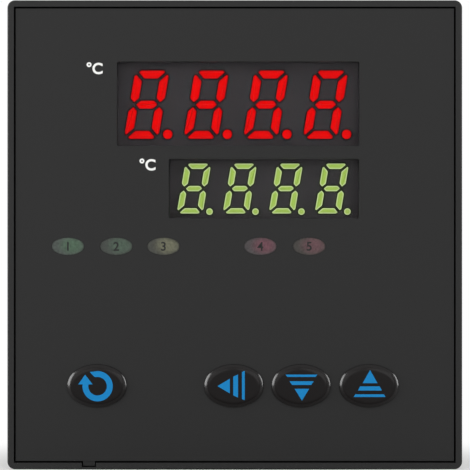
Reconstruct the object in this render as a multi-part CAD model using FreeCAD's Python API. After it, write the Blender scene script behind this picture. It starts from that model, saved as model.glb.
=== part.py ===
import FreeCAD, Part
import math
import os

# A panel-mounted PID temperature controller. Millimetres, +Z up, +X to the right,
# front towards -Y. The origin is the centre of the plane where the bezel flange
# seats on the panel, so the bezel stands in front of it and the case behind it.
#
# The case is one moulding: a bezel with a recess, and a tube behind it. The inner
# unit pulls out of the tube to the front. It carries the face, the displays, the
# keys and the boards, whose rear edges plug into contacts in the terminal blocks.

# ---- overall sizes; the depth is from the key caps to the rear of the terminal blocks ----
bezel_width = 96.0
bezel_height = 99.0
overall_depth = 102.2

# ---- bezel ----
bezel_depth = 9.5
bezel_corner_radius = 1.6
bezel_edge_chamfer = 0.25
rim_thickness = 1.35
flange_thickness = 2.0
flange_overhang_side = 2.5
flange_overhang_end = 4.0
notch_from_left = 17.2
notch_width = 3.0
notch_depth = 0.9
notch_length = 5.5

# ---- case tube ----
tube_corner_radius = 1.5
tube_wall = 2.0
back_wall = 2.5
vent_width = 2.2
vent_length = 16.0
vent_pitch = 7.5
vent_count = 6
vent_row_y = (30.0, 52.0)
rear_vent_width = 3.0
rear_vent_height = 36.0
rear_vent_pitch = 8.0
rear_vent_count = 5
bracket_slot_from_side = 8.5
bracket_slot_y = 16.0
bracket_slot_width = 6.0
bracket_slot_length = 3.0
guide_rib_thickness = 1.2
guide_rib_height = 3.0
guide_rib_lead = 3.0
guide_play = 0.2

# ---- front frame ----
frame_gap = 0.38
face_recess = 0.3
face_thickness = 2.0
skirt_thickness = 1.6
skirt_seat_gap = 0.2
lug_play = 0.25
lug_setback = 0.2
post_from_board_edge = 4.3
post_width = 4.0
hook_x = 20.0
hook_width = 5.0
hook_thickness = 1.4
hook_play = 0.15
hook_nose = 0.8
hook_nose_length = 1.5
hook_notch_depth = 2.4

# ---- windows ----
window_play = 0.1
window_lip = 1.0
window_lip_thickness = 0.8
window_air_gap = 0.1
pv_window_centre = (0.7, 27.66)
pv_window_width = 51.0
pv_window_height = 17.6
sv_window_centre = (6.17, 9.72)
sv_window_width = 40.0
sv_window_height = 12.4
window_corner_radius = 0.4

# ---- display modules ----
digit_count = 4
segment_thickness = 0.4
segment_corner_cut = 0.22
segment_cut_angle = 45.0
pv_module_width = 50.3
pv_module_height = 19.0
pv_module_depth = 8.0
pv_digit_centre = (0.29, 27.6)
pv_digit_pitch = 12.65
pv_digit_width = 7.4
pv_digit_height = 14.6
pv_stroke = 1.9
pv_bar = 1.8
pv_segment_gap = 0.6
pv_slant = 9.5
pv_point_offset = (4.46, -6.29)
pv_point_radius = 1.06
sv_module_width = 40.2
sv_module_height = 12.8
sv_module_depth = 7.0
sv_digit_centre = (5.97, 9.82)
sv_digit_pitch = 9.77
sv_digit_width = 5.62
sv_digit_height = 10.7
sv_stroke = 1.4
sv_bar = 1.22
sv_segment_gap = 0.5
sv_slant = 9.8
sv_point_offset = (3.31, -4.9)
sv_point_radius = 0.74

# ---- ovals: 0 gives the round ends of a slot, and 1 the end radius of an ellipse ----
oval_end_share = 0.6

# ---- indicator lenses and their lamps; places from the face's left edge ----
lens_names = ("output_1", "output_2", "autotune", "alarm_1", "alarm_2")
lens_from_left = (11.03, 21.24, 31.2, 51.66, 61.97)
lens_z = -2.45
lens_width = 6.8
lens_height = 3.7
lens_play = 0.05
lens_lip = 0.7
lens_lip_thickness = 0.8
light_pipe_width = 4.6
light_pipe_height = 2.4
light_pipe_gap = 0.3
lamp_width = 3.4
lamp_height = 2.8
lamp_depth = 1.9

# ---- keys and their switches; places from the face's nearer side edge ----
key_names = ("set", "shift", "down", "up")
set_key_from_left = 17.17
arrow_keys_from_right = (46.47, 32.27, 17.93)
key_z = -31.9
key_width = 12.2
key_height = 8.8
key_play = 0.15
key_proud = 1.0
key_edge_bevel = 0.5
key_lip = 0.65
key_lip_thickness = 0.8
key_lip_gap = 0.05
key_stem_width = 3.6
key_travel = 0.5
switch_width = 6.0
switch_depth = 3.5
plunger_width = 2.4
plunger_play = 0.05
plunger_rise = 1.5
plunger_hold = 1.0
plunger_floor = 0.2

# ---- boards ----
board_thickness = 1.6
display_board_play = 0.7
side_board_from_block_side = 3.5
side_board_play = 1.5
side_board_end_gap = 0.2
edge_tongue_step = 1.5
edge_tongue_length = 7.0
header_width = 2.5
header_depth = 5.0
header_height = 25.4
brace_thickness = 2.5
brace_height = 10.0
brace_z = 33.0
brace_to_shroud = 1.5
brace_tenon_height = 5.0
brace_tenon_play = 0.05

# ---- parts on the boards; a place on a side board is the distance from its front edge,
# then the height above the middle ----
processor_width = 12.0
processor_depth = 2.0
processor_centre = (2.0, 6.0)
driver_width = 10.0
driver_height = 6.2
driver_depth = 2.2
driver_x = (-12.0, 16.0)
driver_z = -14.0
relay_count = 3
relay_length = 19.0
relay_width = 15.5
relay_height = 15.8
relay_pitch = 17.5
relay_centre_z = -8.5
relay_to_brace = 1.0
# each capacitor: place, then radius and length
capacitors = ((19.0, -22.0, 8.0, 25.0), (9.0, 22.0, 5.0, 16.0), (9.0, 33.0, 4.0, 12.0))
transformer_y = 27.0
transformer_z = 22.0
core_width = 26.0
core_thickness = 8.0
core_yoke = 3.3
core_leg = 7.0
core_window = 6.0
core_window_height = 12.5
core_lift = 0.6
bobbin_wall = 0.8
bobbin_flange = 1.2
bobbin_depth = 20.0
bobbin_play = 0.1
winding_margin = 0.9
isolator_length = 7.4
isolator_width = 6.4
isolator_height = 3.6
isolator_places = ((20.0, -20.0), (20.0, -8.0), (20.0, 4.0))
converter_length = 10.0
converter_width = 4.0
converter_height = 2.2
converter_places = ((40.0, -14.0), (40.0, 10.0))
film_capacitor_length = 13.0
film_capacitor_width = 5.0
film_capacitor_height = 9.0
film_capacitor_places = ((30.0, 24.0), (30.0, 32.0))

# ---- terminal blocks ----
terminal_count = 10
terminal_pitch = 8.3
barrier_thickness = 1.4
barrier_height = 6.5
block_base = 3.5
block_width = 18.5
block_side_margin = 0.5
block_inner_wall = 1.0
screw_from_block_side = 8.0
terminal_head_radius = 2.8
terminal_head_height = 2.2
terminal_head_sides = 12
washer_width = 6.2
washer_thickness = 1.0
contact_width = 4.0
contact_thickness = 0.8
contact_past_screw = 3.4
contact_play = 0.1
leaf_thickness = 0.4
leaf_gap = 0.12
leaf_setback = 1.5
shroud_reach = 5.5
shroud_wall = 1.4
shroud_play = 0.15
shroud_end_wall = 1.2
board_to_block_gap = 1.5

# ---- planes and sizes that several pieces share ----
through = 1.0
face_y = -bezel_depth + face_recess
key_front_y = face_y - key_proud
tube_width = bezel_width - 2 * flange_overhang_side
tube_height = bezel_height - 2 * flange_overhang_end
tube_depth = overall_depth + key_front_y - block_base - barrier_height
face_back_y = face_y + face_thickness
lip_back_y = face_back_y + window_lip_thickness
pv_front_y = lip_back_y + window_air_gap
display_board_y = pv_front_y + pv_module_depth
display_board_back_y = display_board_y + board_thickness
sv_front_y = display_board_y - sv_module_depth
block_outer_x = tube_width / 2 - block_side_margin
block_inner_x = block_outer_x - block_width
terminal_screw_x = block_outer_x - screw_from_block_side
contact_end_x = terminal_screw_x + contact_past_screw
side_board_x = block_inner_x + side_board_from_block_side
side_board_front_y = display_board_back_y + side_board_end_gap
side_board_rear_y = tube_depth - board_to_block_gap
side_board_inner_x = side_board_x - board_thickness / 2
shroud_front_y = tube_depth - back_wall - shroud_reach
brace_rear_y = shroud_front_y - brace_to_shroud
brace_front_y = brace_rear_y - brace_thickness
block_floor_y = tube_depth + block_base
block_rear_y = block_floor_y + barrier_height
bore_width = tube_width - 2 * tube_wall
bore_height = tube_height - 2 * tube_wall
recess_width = bezel_width - 2 * rim_thickness
recess_height = bezel_height - 2 * rim_thickness
frame_width = recess_width - 2 * frame_gap
frame_height = recess_height - 2 * frame_gap
notch_x = -bezel_width / 2 + notch_from_left
bracket_slot_x = tube_width / 2 - bracket_slot_from_side
display_board_width = bore_width - 2 * display_board_play
display_board_height = bore_height - 2 * display_board_play
side_board_height = bore_height - 2 * side_board_play
edge_tongue_height = side_board_height - 2 * edge_tongue_step
lens_x = [-frame_width / 2 + place for place in lens_from_left]
key_x = [-frame_width / 2 + set_key_from_left] + [frame_width / 2 - place for place in arrow_keys_from_right]
block_height = terminal_count * terminal_pitch + barrier_thickness
terminal_z = [(i - (terminal_count - 1) / 2) * terminal_pitch for i in range(terminal_count)]
leaf_inner = board_thickness / 2 + leaf_gap
leaf_outer = leaf_inner + leaf_thickness
shroud_cavity = 2 * (leaf_outer + shroud_play)
shroud_width = shroud_cavity + 2 * shroud_wall
shroud_cavity_height = edge_tongue_height + 2 * shroud_play
shroud_height = shroud_cavity_height + 2 * shroud_end_wall


# ---- small shape helpers ----
def span(centre, size):
    """Limits of a length centred on a place."""
    return centre - size / 2, centre + size / 2


def block(x_span, y_span, z_span):
    """Box between two limits on each axis."""
    corner = FreeCAD.Vector(min(x_span), min(y_span), min(z_span))
    sizes = [max(limits) - min(limits) for limits in (x_span, y_span, z_span)]
    return Part.makeBox(*sizes, corner)


def extrude_face(edges, y_span):
    """Solid from a closed outline drawn at the first of two planes across Y."""
    outline = Part.Face(Part.Wire(edges))
    return outline.extrude(FreeCAD.Vector(0, y_span[1] - y_span[0], 0))


def prism(points, y_span):
    """Solid with a straight-sided outline given as x, z points."""
    corners = [FreeCAD.Vector(x, y_span[0], z) for x, z in points]
    loop = corners + corners[:1]
    edges = [Part.LineSegment(a, b).toShape() for a, b in zip(loop, loop[1:])]
    return extrude_face(edges, y_span)


def rounded_plate(width, height, radius, y_span, centre=(0, 0)):
    """Solid with a rounded rectangular outline."""
    plate = block(span(centre[0], width), y_span, span(centre[1], height))
    corners = [edge for edge in plate.Edges if edge.BoundBox.YLength > max(edge.BoundBox.XLength, 1e-6)]
    return plate.makeFillet(radius, corners)


def oval_plate(width, height, y_span, centre):
    """Solid with an oval outline of four tangent arcs, close to an ellipse."""
    a = width / 2
    b = height / 2
    end_radius = b * (oval_end_share * b / a + 1 - oval_end_share)
    side_radius = (a * a + b * b - 2 * a * end_radius) / (2 * (b - end_radius))
    end_centre = a - end_radius
    drop = side_radius - b
    reach = side_radius / (side_radius - end_radius)
    join_x = end_centre * reach
    join_z = drop * reach - drop

    def point(x, z):
        return FreeCAD.Vector(centre[0] + x, y_span[0], centre[1] + z)

    stations = [(join_x, -join_z), (a, 0), (join_x, join_z), (0, b)]
    stations += [(-join_x, join_z), (-a, 0), (-join_x, -join_z), (0, -b), (join_x, -join_z)]
    arcs = []
    for i in range(0, 8, 2):
        start, middle, end = [point(*station) for station in stations[i:i + 3]]
        arcs.append(Part.Arc(start, middle, end).toShape())
    return extrude_face(arcs, y_span)


def rod(radius, y_span, centre):
    """Cylinder along Y."""
    base = FreeCAD.Vector(centre[0], y_span[0], centre[1])
    return Part.makeCylinder(radius, y_span[1] - y_span[0], base, FreeCAD.Vector(0, 1, 0))


def join(shapes):
    """One solid from several that touch."""
    if len(shapes) == 1:
        return shapes[0]
    return shapes[0].multiFuse(shapes[1:]).removeSplitter()


def group(shapes):
    """Separate solids of one node."""
    return Part.makeCompound(shapes)


def mirrored(shape):
    """The same shape on the other side of the middle plane."""
    return shape.mirror(FreeCAD.Vector(0, 0, 0), FreeCAD.Vector(1, 0, 0))


def front_edges(shape, y):
    """Edges that lie in one plane across Y."""
    return [e for e in shape.Edges if abs(e.BoundBox.YMin - y) < 1e-6 and abs(e.BoundBox.YMax - y) < 1e-6]


# ---- case ----
def release_notch():
    """Notch in the lower rim, open to the front, where a blade frees the inner unit."""
    top = -recess_height / 2
    z_span = (top - notch_depth, top + through)
    return block(span(notch_x, notch_width), (-bezel_depth - through, -bezel_depth + notch_length), z_span)


def tube_vents():
    """Slots in the tube's top and bottom walls, in two rows."""
    slots = []
    for y in vent_row_y:
        for i in range(vent_count):
            x = (i - (vent_count - 1) / 2) * vent_pitch
            slots.append(block(span(x, vent_width), span(y, vent_length), span(0, tube_height + 2 * through)))
    return slots


def bracket_slots():
    """Openings in the top and bottom walls where the fixing brackets hook in."""
    z_span = span(0, tube_height + 2 * through)
    y_span = span(bracket_slot_y, bracket_slot_length)
    return [block(span(side * bracket_slot_x, bracket_slot_width), y_span, z_span) for side in (-1, 1)]


def back_openings():
    """Vents in the back wall, and a slot for each terminal block's shroud."""
    y_span = (tube_depth - back_wall - through, tube_depth + through)
    slots = []
    for i in range(rear_vent_count):
        x = (i - (rear_vent_count - 1) / 2) * rear_vent_pitch
        slots.append(block(span(x, rear_vent_width), y_span, span(0, rear_vent_height)))
    for side in (-1, 1):
        x_span = span(side * side_board_x, shroud_width + 2 * shroud_play)
        slots.append(block(x_span, y_span, span(0, shroud_height + 2 * shroud_play)))
    return slots


def guide_ribs():
    """Pairs of ribs in the tube's roof and floor, between which the boards slide."""
    y_span = (display_board_back_y + guide_rib_lead, shroud_front_y)
    offset = (board_thickness + guide_rib_thickness) / 2 + guide_play
    ribs = []
    for side in (-1, 1):
        for shift in (-offset, offset):
            x_span = span(side * side_board_x + shift, guide_rib_thickness)
            ribs.append(block(x_span, y_span, (bore_height / 2 - guide_rib_height, bore_height / 2)))
            ribs.append(block(x_span, y_span, (-bore_height / 2, -bore_height / 2 + guide_rib_height)))
    return ribs


def case_shell():
    """Bezel, flange and tube as one moulding."""
    bezel = rounded_plate(bezel_width, bezel_height, bezel_corner_radius, (-bezel_depth, 0))
    bezel = bezel.makeChamfer(bezel_edge_chamfer, front_edges(bezel, -bezel_depth))
    tube = rounded_plate(tube_width, tube_height, tube_corner_radius, (-flange_thickness, tube_depth))
    recess_span = (-bezel_depth - through, -flange_thickness)
    recess = block(span(0, recess_width), recess_span, span(0, recess_height))
    bore_span = (-flange_thickness - through, tube_depth - back_wall)
    bore = block(span(0, bore_width), bore_span, span(0, bore_height))
    hollows = [recess, bore, release_notch()] + bracket_slots() + back_openings()
    shell = join([bezel, tube]).cut(hollows)
    return join([shell] + guide_ribs()).cut(tube_vents())


# ---- terminals, made for the right side and mirrored for the left ----
def terminal_block():
    """Moulded block with a barrier between terminals, and a shroud through the back wall."""
    x_span = (block_inner_x, block_outer_x)
    body = block(x_span, (tube_depth, block_rear_y), span(0, block_height))
    shroud_span = (shroud_front_y, tube_depth)
    shroud = block(span(side_board_x, shroud_width), shroud_span, span(0, shroud_height))
    hollows = []
    cavity_span = (shroud_front_y - through, tube_depth)
    hollows.append(block(span(side_board_x, shroud_cavity), cavity_span, span(0, shroud_cavity_height)))
    for z in terminal_z:
        pocket_x = (block_inner_x + block_inner_wall, block_outer_x + through)
        pocket_z = span(z, terminal_pitch - barrier_thickness)
        hollows.append(block(pocket_x, (block_floor_y, block_rear_y + through), pocket_z))
        hole_z = span(z, contact_width + 2 * contact_play)
        leaf_y = (tube_depth - through, block_floor_y + through)
        hollows.append(block(span(side_board_x, shroud_cavity), leaf_y, hole_z))
    return join([body, shroud]).cut(hollows)


def terminal_contact(z):
    """Brass strip: two leaves that grip the board's edge, folded from the terminal's tab."""
    z_span = span(z, contact_width)
    tab_y = (block_floor_y, block_floor_y + contact_thickness)
    tab = block((side_board_x - leaf_outer, contact_end_x), tab_y, z_span)
    leaf_y = (shroud_front_y + leaf_setback, block_floor_y)
    near = block((side_board_x - leaf_outer, side_board_x - leaf_inner), leaf_y, z_span)
    far = block((side_board_x + leaf_inner, side_board_x + leaf_outer), leaf_y, z_span)
    return join([tab, near, far])


def terminal_screw(z):
    """Head of a terminal screw with its captive square washer, clamped on the contact's tab.
    The thread below is inside the contact and the block, and is left out."""
    washer_y = block_floor_y + contact_thickness
    head_y = washer_y + washer_thickness
    washer = block(span(terminal_screw_x, washer_width), (washer_y, head_y), span(z, washer_width))
    step = 2 * math.pi / terminal_head_sides
    corners = []
    for i in range(terminal_head_sides):
        x = terminal_screw_x + terminal_head_radius * math.cos((i + 0.5) * step)
        corners.append((x, z + terminal_head_radius * math.sin((i + 0.5) * step)))
    head = prism(corners, (head_y, head_y + terminal_head_height))
    return join([washer, head])


def both_sides(make):
    """One piece per terminal, on the right and on the left."""
    right = [make(z) for z in terminal_z]
    return group(right + [mirrored(piece) for piece in right])


# ---- front frame, windows and lenses ----
def frame_openings():
    """Openings in the face for the windows, the lenses and the keys."""
    y_span = (face_y - through, face_back_y + through)
    cuts = []
    for centre, width, height in window_sizes():
        size = (width + 2 * window_play, height + 2 * window_play)
        cuts.append(rounded_plate(*size, window_corner_radius, y_span, centre))
    for x in lens_x:
        size = (lens_width + 2 * lens_play, lens_height + 2 * lens_play)
        cuts.append(oval_plate(*size, y_span, (x, lens_z)))
    for x in key_x:
        cuts.append(oval_plate(key_width + 2 * key_play, key_height + 2 * key_play, y_span, (x, key_z)))
    return cuts


def window_sizes():
    """Centre, width and height of each window."""
    pv = (pv_window_centre, pv_window_width, pv_window_height)
    sv = (sv_window_centre, sv_window_width, sv_window_height)
    return pv, sv


def corner_signs():
    """Signs along X and Z of the four corners."""
    return [(x, z) for x in (-1, 1) for z in (-1, 1)]


def board_hook(side_x, side_z):
    """Snap hook of the frame: an arm through the board's edge notch, with a nose behind it."""
    notch_floor = display_board_height / 2 - hook_notch_depth
    arm_z = (notch_floor + hook_play, notch_floor + hook_play + hook_thickness)
    nose_y = (display_board_back_y, display_board_back_y + hook_nose_length)
    x_span = span(side_x * hook_x, hook_width)
    arm = block(x_span, (face_back_y, nose_y[1]), [side_z * z for z in arm_z])
    nose = block(x_span, nose_y, [side_z * (notch_floor - hook_nose), side_z * arm_z[0]])
    return [arm, nose]


def front_frame():
    """Face and skirt of the inner unit, with posts and hooks for the display board behind
    and a lug in the release notch."""
    skirt_back = -flange_thickness - skirt_seat_gap
    shell = block(span(0, frame_width), (face_y, skirt_back), span(0, frame_height))
    inside = (frame_width - 2 * skirt_thickness, frame_height - 2 * skirt_thickness)
    hollow = block(span(0, inside[0]), (face_back_y, skirt_back + through), span(0, inside[1]))
    pieces = [shell.cut(hollow)]
    post_x = display_board_width / 2 - post_from_board_edge
    post_z = display_board_height / 2 - post_from_board_edge
    for side_x, side_z in corner_signs():
        x_span = span(side_x * post_x, post_width)
        z_span = span(side_z * post_z, post_width)
        pieces.append(block(x_span, (face_back_y, display_board_y), z_span))
        pieces += board_hook(side_x, side_z)
    lug_bottom = -recess_height / 2 - notch_depth + lug_play
    lug_y = (face_y + lug_setback, -bezel_depth + notch_length - lug_play)
    pieces.append(block(span(notch_x, notch_width - 2 * lug_play), lug_y, (lug_bottom, -frame_height / 2)))
    return join(pieces).cut(frame_openings())


def window(centre, width, height):
    """Smoked filter plate, flush with the face, held by a lip behind it."""
    plate = rounded_plate(width, height, window_corner_radius, (face_y, face_back_y), centre)
    lip_size = (width + 2 * window_lip, height + 2 * window_lip)
    lip_y = (face_back_y, lip_back_y)
    return join([plate, block(span(centre[0], lip_size[0]), lip_y, span(centre[1], lip_size[1]))])


def lens(x):
    """Oval lens with a lip behind the face and a light pipe towards its lamp."""
    centre = (x, lens_z)
    head = oval_plate(lens_width, lens_height, (face_y, face_back_y), centre)
    lip_end = face_back_y + lens_lip_thickness
    lip_z = span(lens_z, lens_height + 2 * lens_lip)
    lip = block(span(x, lens_width + 2 * lens_lip), (face_back_y, lip_end), lip_z)
    pipe_end = display_board_y - lamp_depth - light_pipe_gap
    pipe = block(span(x, light_pipe_width), (lip_end, pipe_end), span(lens_z, light_pipe_height))
    return join([head, lip, pipe])


def lamp(x):
    """Lamp on the display board, behind its lens."""
    y_span = (display_board_y - lamp_depth, display_board_y)
    return block(span(x, lamp_width), y_span, span(lens_z, lamp_height))


# ---- display modules ----
def segment_outlines(width, height, stroke, bar, segment_gap):
    """Outlines of the seven segments of an upright digit about its centre, as x, z points.
    The stroke is the width of the upright segments, and the bar the height of the others."""
    half_w = width / 2
    half_h = height / 2
    gap = segment_gap * math.sin(math.radians(segment_cut_angle))
    cut = segment_corner_cut * stroke
    end = half_w - gap - cut
    top = [(end - cut, half_h), (end, half_h - cut), (end + cut - bar, half_h - bar)]
    top += [(-x, z) for x, z in reversed(top)]
    reach = half_w - stroke / 2 - gap
    middle = [(-reach, 0), (bar / 2 - reach, bar / 2), (reach - bar / 2, bar / 2)]
    middle += [(-x, -z) for x, z in middle]
    corner = half_h - gap - cut
    upright = [(half_w, corner - cut), (half_w - cut, corner), (half_w - stroke, corner + cut - stroke)]
    upright += [(half_w - stroke, gap + stroke / 2), (half_w - stroke / 2, gap), (half_w, gap + stroke / 2)]
    outlines = [top, [(x, -z) for x, z in top], middle]
    for flip_x in (-1, 1):
        for flip_z in (-1, 1):
            outlines.append([(flip_x * x, flip_z * z) for x, z in upright])
    return outlines


def digit_segments(centre, pitch, outlines, slant, point_offset, point_radius, front_y):
    """Segments and points of a row of slanted digits, as separate solids."""
    y_span = (front_y, front_y + segment_thickness)
    lean = math.tan(math.radians(slant))
    solids = []
    for i in range(digit_count):
        x_digit = centre[0] + (i - (digit_count - 1) / 2) * pitch
        for outline in outlines:
            points = [(x_digit + x + z * lean, centre[1] + z) for x, z in outline]
            solids.append(prism(points, y_span))
        place = (x_digit + point_offset[0], centre[1] + point_offset[1])
        solids.append(rod(point_radius, y_span, place))
    return solids


def pv_segments():
    """Segments of the large display."""
    outlines = segment_outlines(pv_digit_width, pv_digit_height, pv_stroke, pv_bar, pv_segment_gap)
    return digit_segments(pv_digit_centre, pv_digit_pitch, outlines, pv_slant, pv_point_offset,
                          pv_point_radius, pv_front_y)


def sv_segments():
    """Segments of the small display."""
    outlines = segment_outlines(sv_digit_width, sv_digit_height, sv_stroke, sv_bar, sv_segment_gap)
    return digit_segments(sv_digit_centre, sv_digit_pitch, outlines, sv_slant, sv_point_offset,
                          sv_point_radius, sv_front_y)


def display_housing(centre, width, height, front_y):
    """Housing of a display module, with its segments on the front."""
    y_span = (front_y + segment_thickness, display_board_y)
    return block(span(centre[0], width), y_span, span(centre[1], height))


# ---- keys and switches ----
def key_cap(x):
    """Oval cap with a bevelled front edge, a lip behind the face and a stem to the switch."""
    centre = (x, key_z)
    lip_front = face_back_y + key_lip_gap
    lip_end = lip_front + key_lip_thickness
    head = oval_plate(key_width, key_height, (key_front_y, lip_front), centre)
    head = head.makeChamfer(key_edge_bevel, front_edges(head, key_front_y))
    lip = block(span(x, key_width + 2 * key_lip), (lip_front, lip_end), span(key_z, key_height + 2 * key_lip))
    stem_end = display_board_y - switch_depth - plunger_rise
    stem = block(span(x, key_stem_width), (lip_end, stem_end), span(key_z, key_stem_width))
    return join([head, lip, stem])


def switch_body(x):
    """Push switch on the display board, with a bore for its plunger."""
    front = display_board_y - switch_depth
    body = block(span(x, switch_width), (front, display_board_y), span(key_z, switch_width))
    floor = front + plunger_hold + key_travel + plunger_floor
    bore = plunger_width + 2 * plunger_play
    return body.cut(block(span(x, bore), (front - through, floor), span(key_z, bore)))


def switch_plunger(x):
    """Square plunger of a push switch, which the key's stem rests on."""
    front = display_board_y - switch_depth
    y_span = (front - plunger_rise, front + plunger_hold)
    return block(span(x, plunger_width), y_span, span(key_z, plunger_width))


# ---- boards and what holds them ----
def display_board():
    """Board across the tube, behind the face, with notches for the frame's hooks."""
    y_span = (display_board_y, display_board_back_y)
    board = block(span(0, display_board_width), y_span, span(0, display_board_height))
    notches = []
    for side_x, side_z in corner_signs():
        x_span = span(side_x * hook_x, hook_width + 2 * hook_play)
        edge = display_board_height / 2
        z_span = [side_z * (edge - hook_notch_depth), side_z * (edge + through)]
        notches.append(block(x_span, (y_span[0] - through, y_span[1] + through), z_span))
    return board.cut(notches)


def side_board():
    """Board along the tube's right side, with an edge tongue that plugs into the contacts."""
    x_span = span(side_board_x, board_thickness)
    tongue_y = side_board_rear_y - edge_tongue_length
    main = block(x_span, (side_board_front_y, tongue_y), span(0, side_board_height))
    tongue = block(x_span, (tongue_y, side_board_rear_y), span(0, edge_tongue_height))
    slots = []
    for z in (-brace_z, brace_z):
        y_span = (brace_front_y - brace_tenon_play, brace_rear_y + brace_tenon_play)
        slots.append(block(x_span, y_span, span(z, brace_tenon_height + 2 * brace_tenon_play)))
    return join([main, tongue]).cut(slots)


def board_header():
    """Header that joins the right side board to the display board."""
    x_span = (side_board_inner_x - header_width, side_board_inner_x)
    y_span = (display_board_back_y, display_board_back_y + header_depth)
    return block(x_span, y_span, span(0, header_height))


def board_brace(z):
    """Moulded bar between the side boards, with a tenon in each."""
    y_span = (brace_front_y, brace_rear_y)
    bar = block(span(0, 2 * side_board_inner_x), y_span, span(z, brace_height))
    tenons = block(span(0, 2 * side_board_inner_x + 2 * board_thickness), y_span, span(z, brace_tenon_height))
    return join([bar, tenons])


# ---- parts on the left board, whose face looks to +X ----
def power_x(height):
    """Limits along X of a part of this height on the left board's inner face."""
    return -side_board_inner_x, -side_board_inner_x + height


def capacitor(y, z, radius, height):
    """Round capacitor standing on the left board."""
    base = FreeCAD.Vector(-side_board_inner_x, side_board_front_y + y, z)
    return Part.makeCylinder(radius, height, base, FreeCAD.Vector(1, 0, 0))


def relay(i):
    """Relay on the left board."""
    z = relay_centre_z + (i - (relay_count - 1) / 2) * relay_pitch
    rear = brace_front_y - relay_to_brace
    return block(power_x(relay_height), (rear - relay_length, rear), span(z, relay_width))


def transformer_box(heights, depth, width):
    """Box centred on the transformer, between two heights above the left board."""
    x_span = [-side_board_inner_x + height for height in heights]
    y = side_board_front_y + transformer_y
    return block(x_span, span(y, depth), span(transformer_z, width))


def transformer_core():
    """Ferrite core: two yokes, a centre leg and two outer limbs."""
    low = core_lift + core_yoke
    high = low + core_window_height
    outline = transformer_box((core_lift, high + core_yoke), core_thickness, core_width)
    open_span = transformer_box((low, high), core_thickness + 2 * through, core_leg + 2 * core_window)
    leg = transformer_box((low, high), core_thickness, core_leg)
    return join([outline.cut(open_span), leg])


def bobbin_levels():
    """Heights of the bobbin's two flanges above the board."""
    low = core_lift + core_yoke + bobbin_play
    high = core_lift + core_yoke + core_window_height - bobbin_play
    return low, low + bobbin_flange, high - bobbin_flange, high


def transformer_bobbin():
    """Spool round the core's centre leg, standing on feet on both sides of the lower yoke."""
    low, low_top, high_base, high = bobbin_levels()
    flange_width = core_leg + 2 * core_window - 2 * bobbin_play
    tube_size = (core_thickness + 2 * bobbin_play, core_leg + 2 * bobbin_play)
    tube = transformer_box((low, high), tube_size[0] + 2 * bobbin_wall, tube_size[1] + 2 * bobbin_wall)
    pieces = [tube]
    pieces.append(transformer_box((low, low_top), bobbin_depth, flange_width))
    pieces.append(transformer_box((high_base, high), bobbin_depth, flange_width))
    pieces.append(transformer_box((0, low), bobbin_depth, flange_width))
    yoke_room = transformer_box((-through, low), tube_size[0], core_width)
    leg_room = transformer_box((-through, high + through), *tube_size)
    return join(pieces).cut([yoke_room, leg_room])


def transformer_winding():
    """Taped winding on the bobbin, between its flanges."""
    low_top, high_base = bobbin_levels()[1:3]
    flange_width = core_leg + 2 * core_window - 2 * bobbin_play
    outer = (bobbin_depth - 2 * winding_margin, flange_width - 2 * winding_margin)
    inner = (core_thickness + 2 * bobbin_play + 2 * bobbin_wall, core_leg + 2 * bobbin_play + 2 * bobbin_wall)
    hole = transformer_box((low_top - through, high_base + through), *inner)
    return transformer_box((low_top, high_base), *outer).cut(hole)


# ---- parts on the right board, whose face looks to -X ----
def input_part(place, length, width, height):
    """Box-shaped part on the right board, its place from the board's front edge."""
    x_span = (side_board_inner_x - height, side_board_inner_x)
    return block(x_span, span(side_board_front_y + place[0], length), span(place[1], width))


# ---- parts behind the display board ----
def processor():
    """Microcontroller on the back of the display board."""
    y_span = (display_board_back_y, display_board_back_y + processor_depth)
    x, z = processor_centre
    return block(span(x, processor_width), y_span, span(z, processor_width))


def display_driver(x):
    """Display driver chip on the back of the display board."""
    y_span = (display_board_back_y, display_board_back_y + driver_depth)
    return block(span(x, driver_width), y_span, span(driver_z, driver_height))


def build_nodes():
    """Every named piece of the controller."""
    right_block = terminal_block()
    right_board = side_board()
    right_header = board_header()
    nodes = {
        "case_shell": case_shell(),
        "terminal_block_right": right_block,
        "terminal_block_left": mirrored(right_block),
        "terminal_contacts": both_sides(terminal_contact),
        "terminal_screws": both_sides(terminal_screw),
        "front_frame": front_frame(),
        "pv_window": window(pv_window_centre, pv_window_width, pv_window_height),
        "sv_window": window(sv_window_centre, sv_window_width, sv_window_height),
        "pv_display_housing": display_housing(pv_window_centre, pv_module_width,
                                              pv_module_height, pv_front_y),
        "pv_display_segments": group(pv_segments()),
        "sv_display_housing": display_housing(sv_window_centre, sv_module_width,
                                              sv_module_height, sv_front_y),
        "sv_display_segments": group(sv_segments()),
        "indicator_lamps": group([lamp(x) for x in lens_x]),
        "display_board": display_board(),
        "key_switch_bodies": group([switch_body(x) for x in key_x]),
        "microcontroller": processor(),
        "display_drivers": group([display_driver(x) for x in driver_x]),
        "input_board": right_board,
        "power_board": mirrored(right_board),
        "board_headers": group([right_header, mirrored(right_header)]),
        "board_braces": group([board_brace(z) for z in (-brace_z, brace_z)]),
        "transformer_core": transformer_core(),
        "transformer_bobbin": transformer_bobbin(),
        "transformer_winding": transformer_winding(),
        "relays": group([relay(i) for i in range(relay_count)]),
        "electrolytic_capacitors": group([capacitor(*sizes) for sizes in capacitors]),
        "isolators": group([input_part(place, isolator_length, isolator_width, isolator_height)
                            for place in isolator_places]),
        "signal_converters": group([input_part(place, converter_length, converter_width, converter_height)
                                    for place in converter_places]),
        "film_capacitors": group([input_part(place, film_capacitor_length, film_capacitor_width,
                                             film_capacitor_height) for place in film_capacitor_places]),
    }
    for name, x in zip(lens_names, lens_x):
        nodes[name + "_lens"] = lens(x)
    for name, x in zip(key_names, key_x):
        nodes[name + "_key"] = key_cap(x)
        nodes[name + "_switch_plunger"] = switch_plunger(x)
    return nodes


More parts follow.
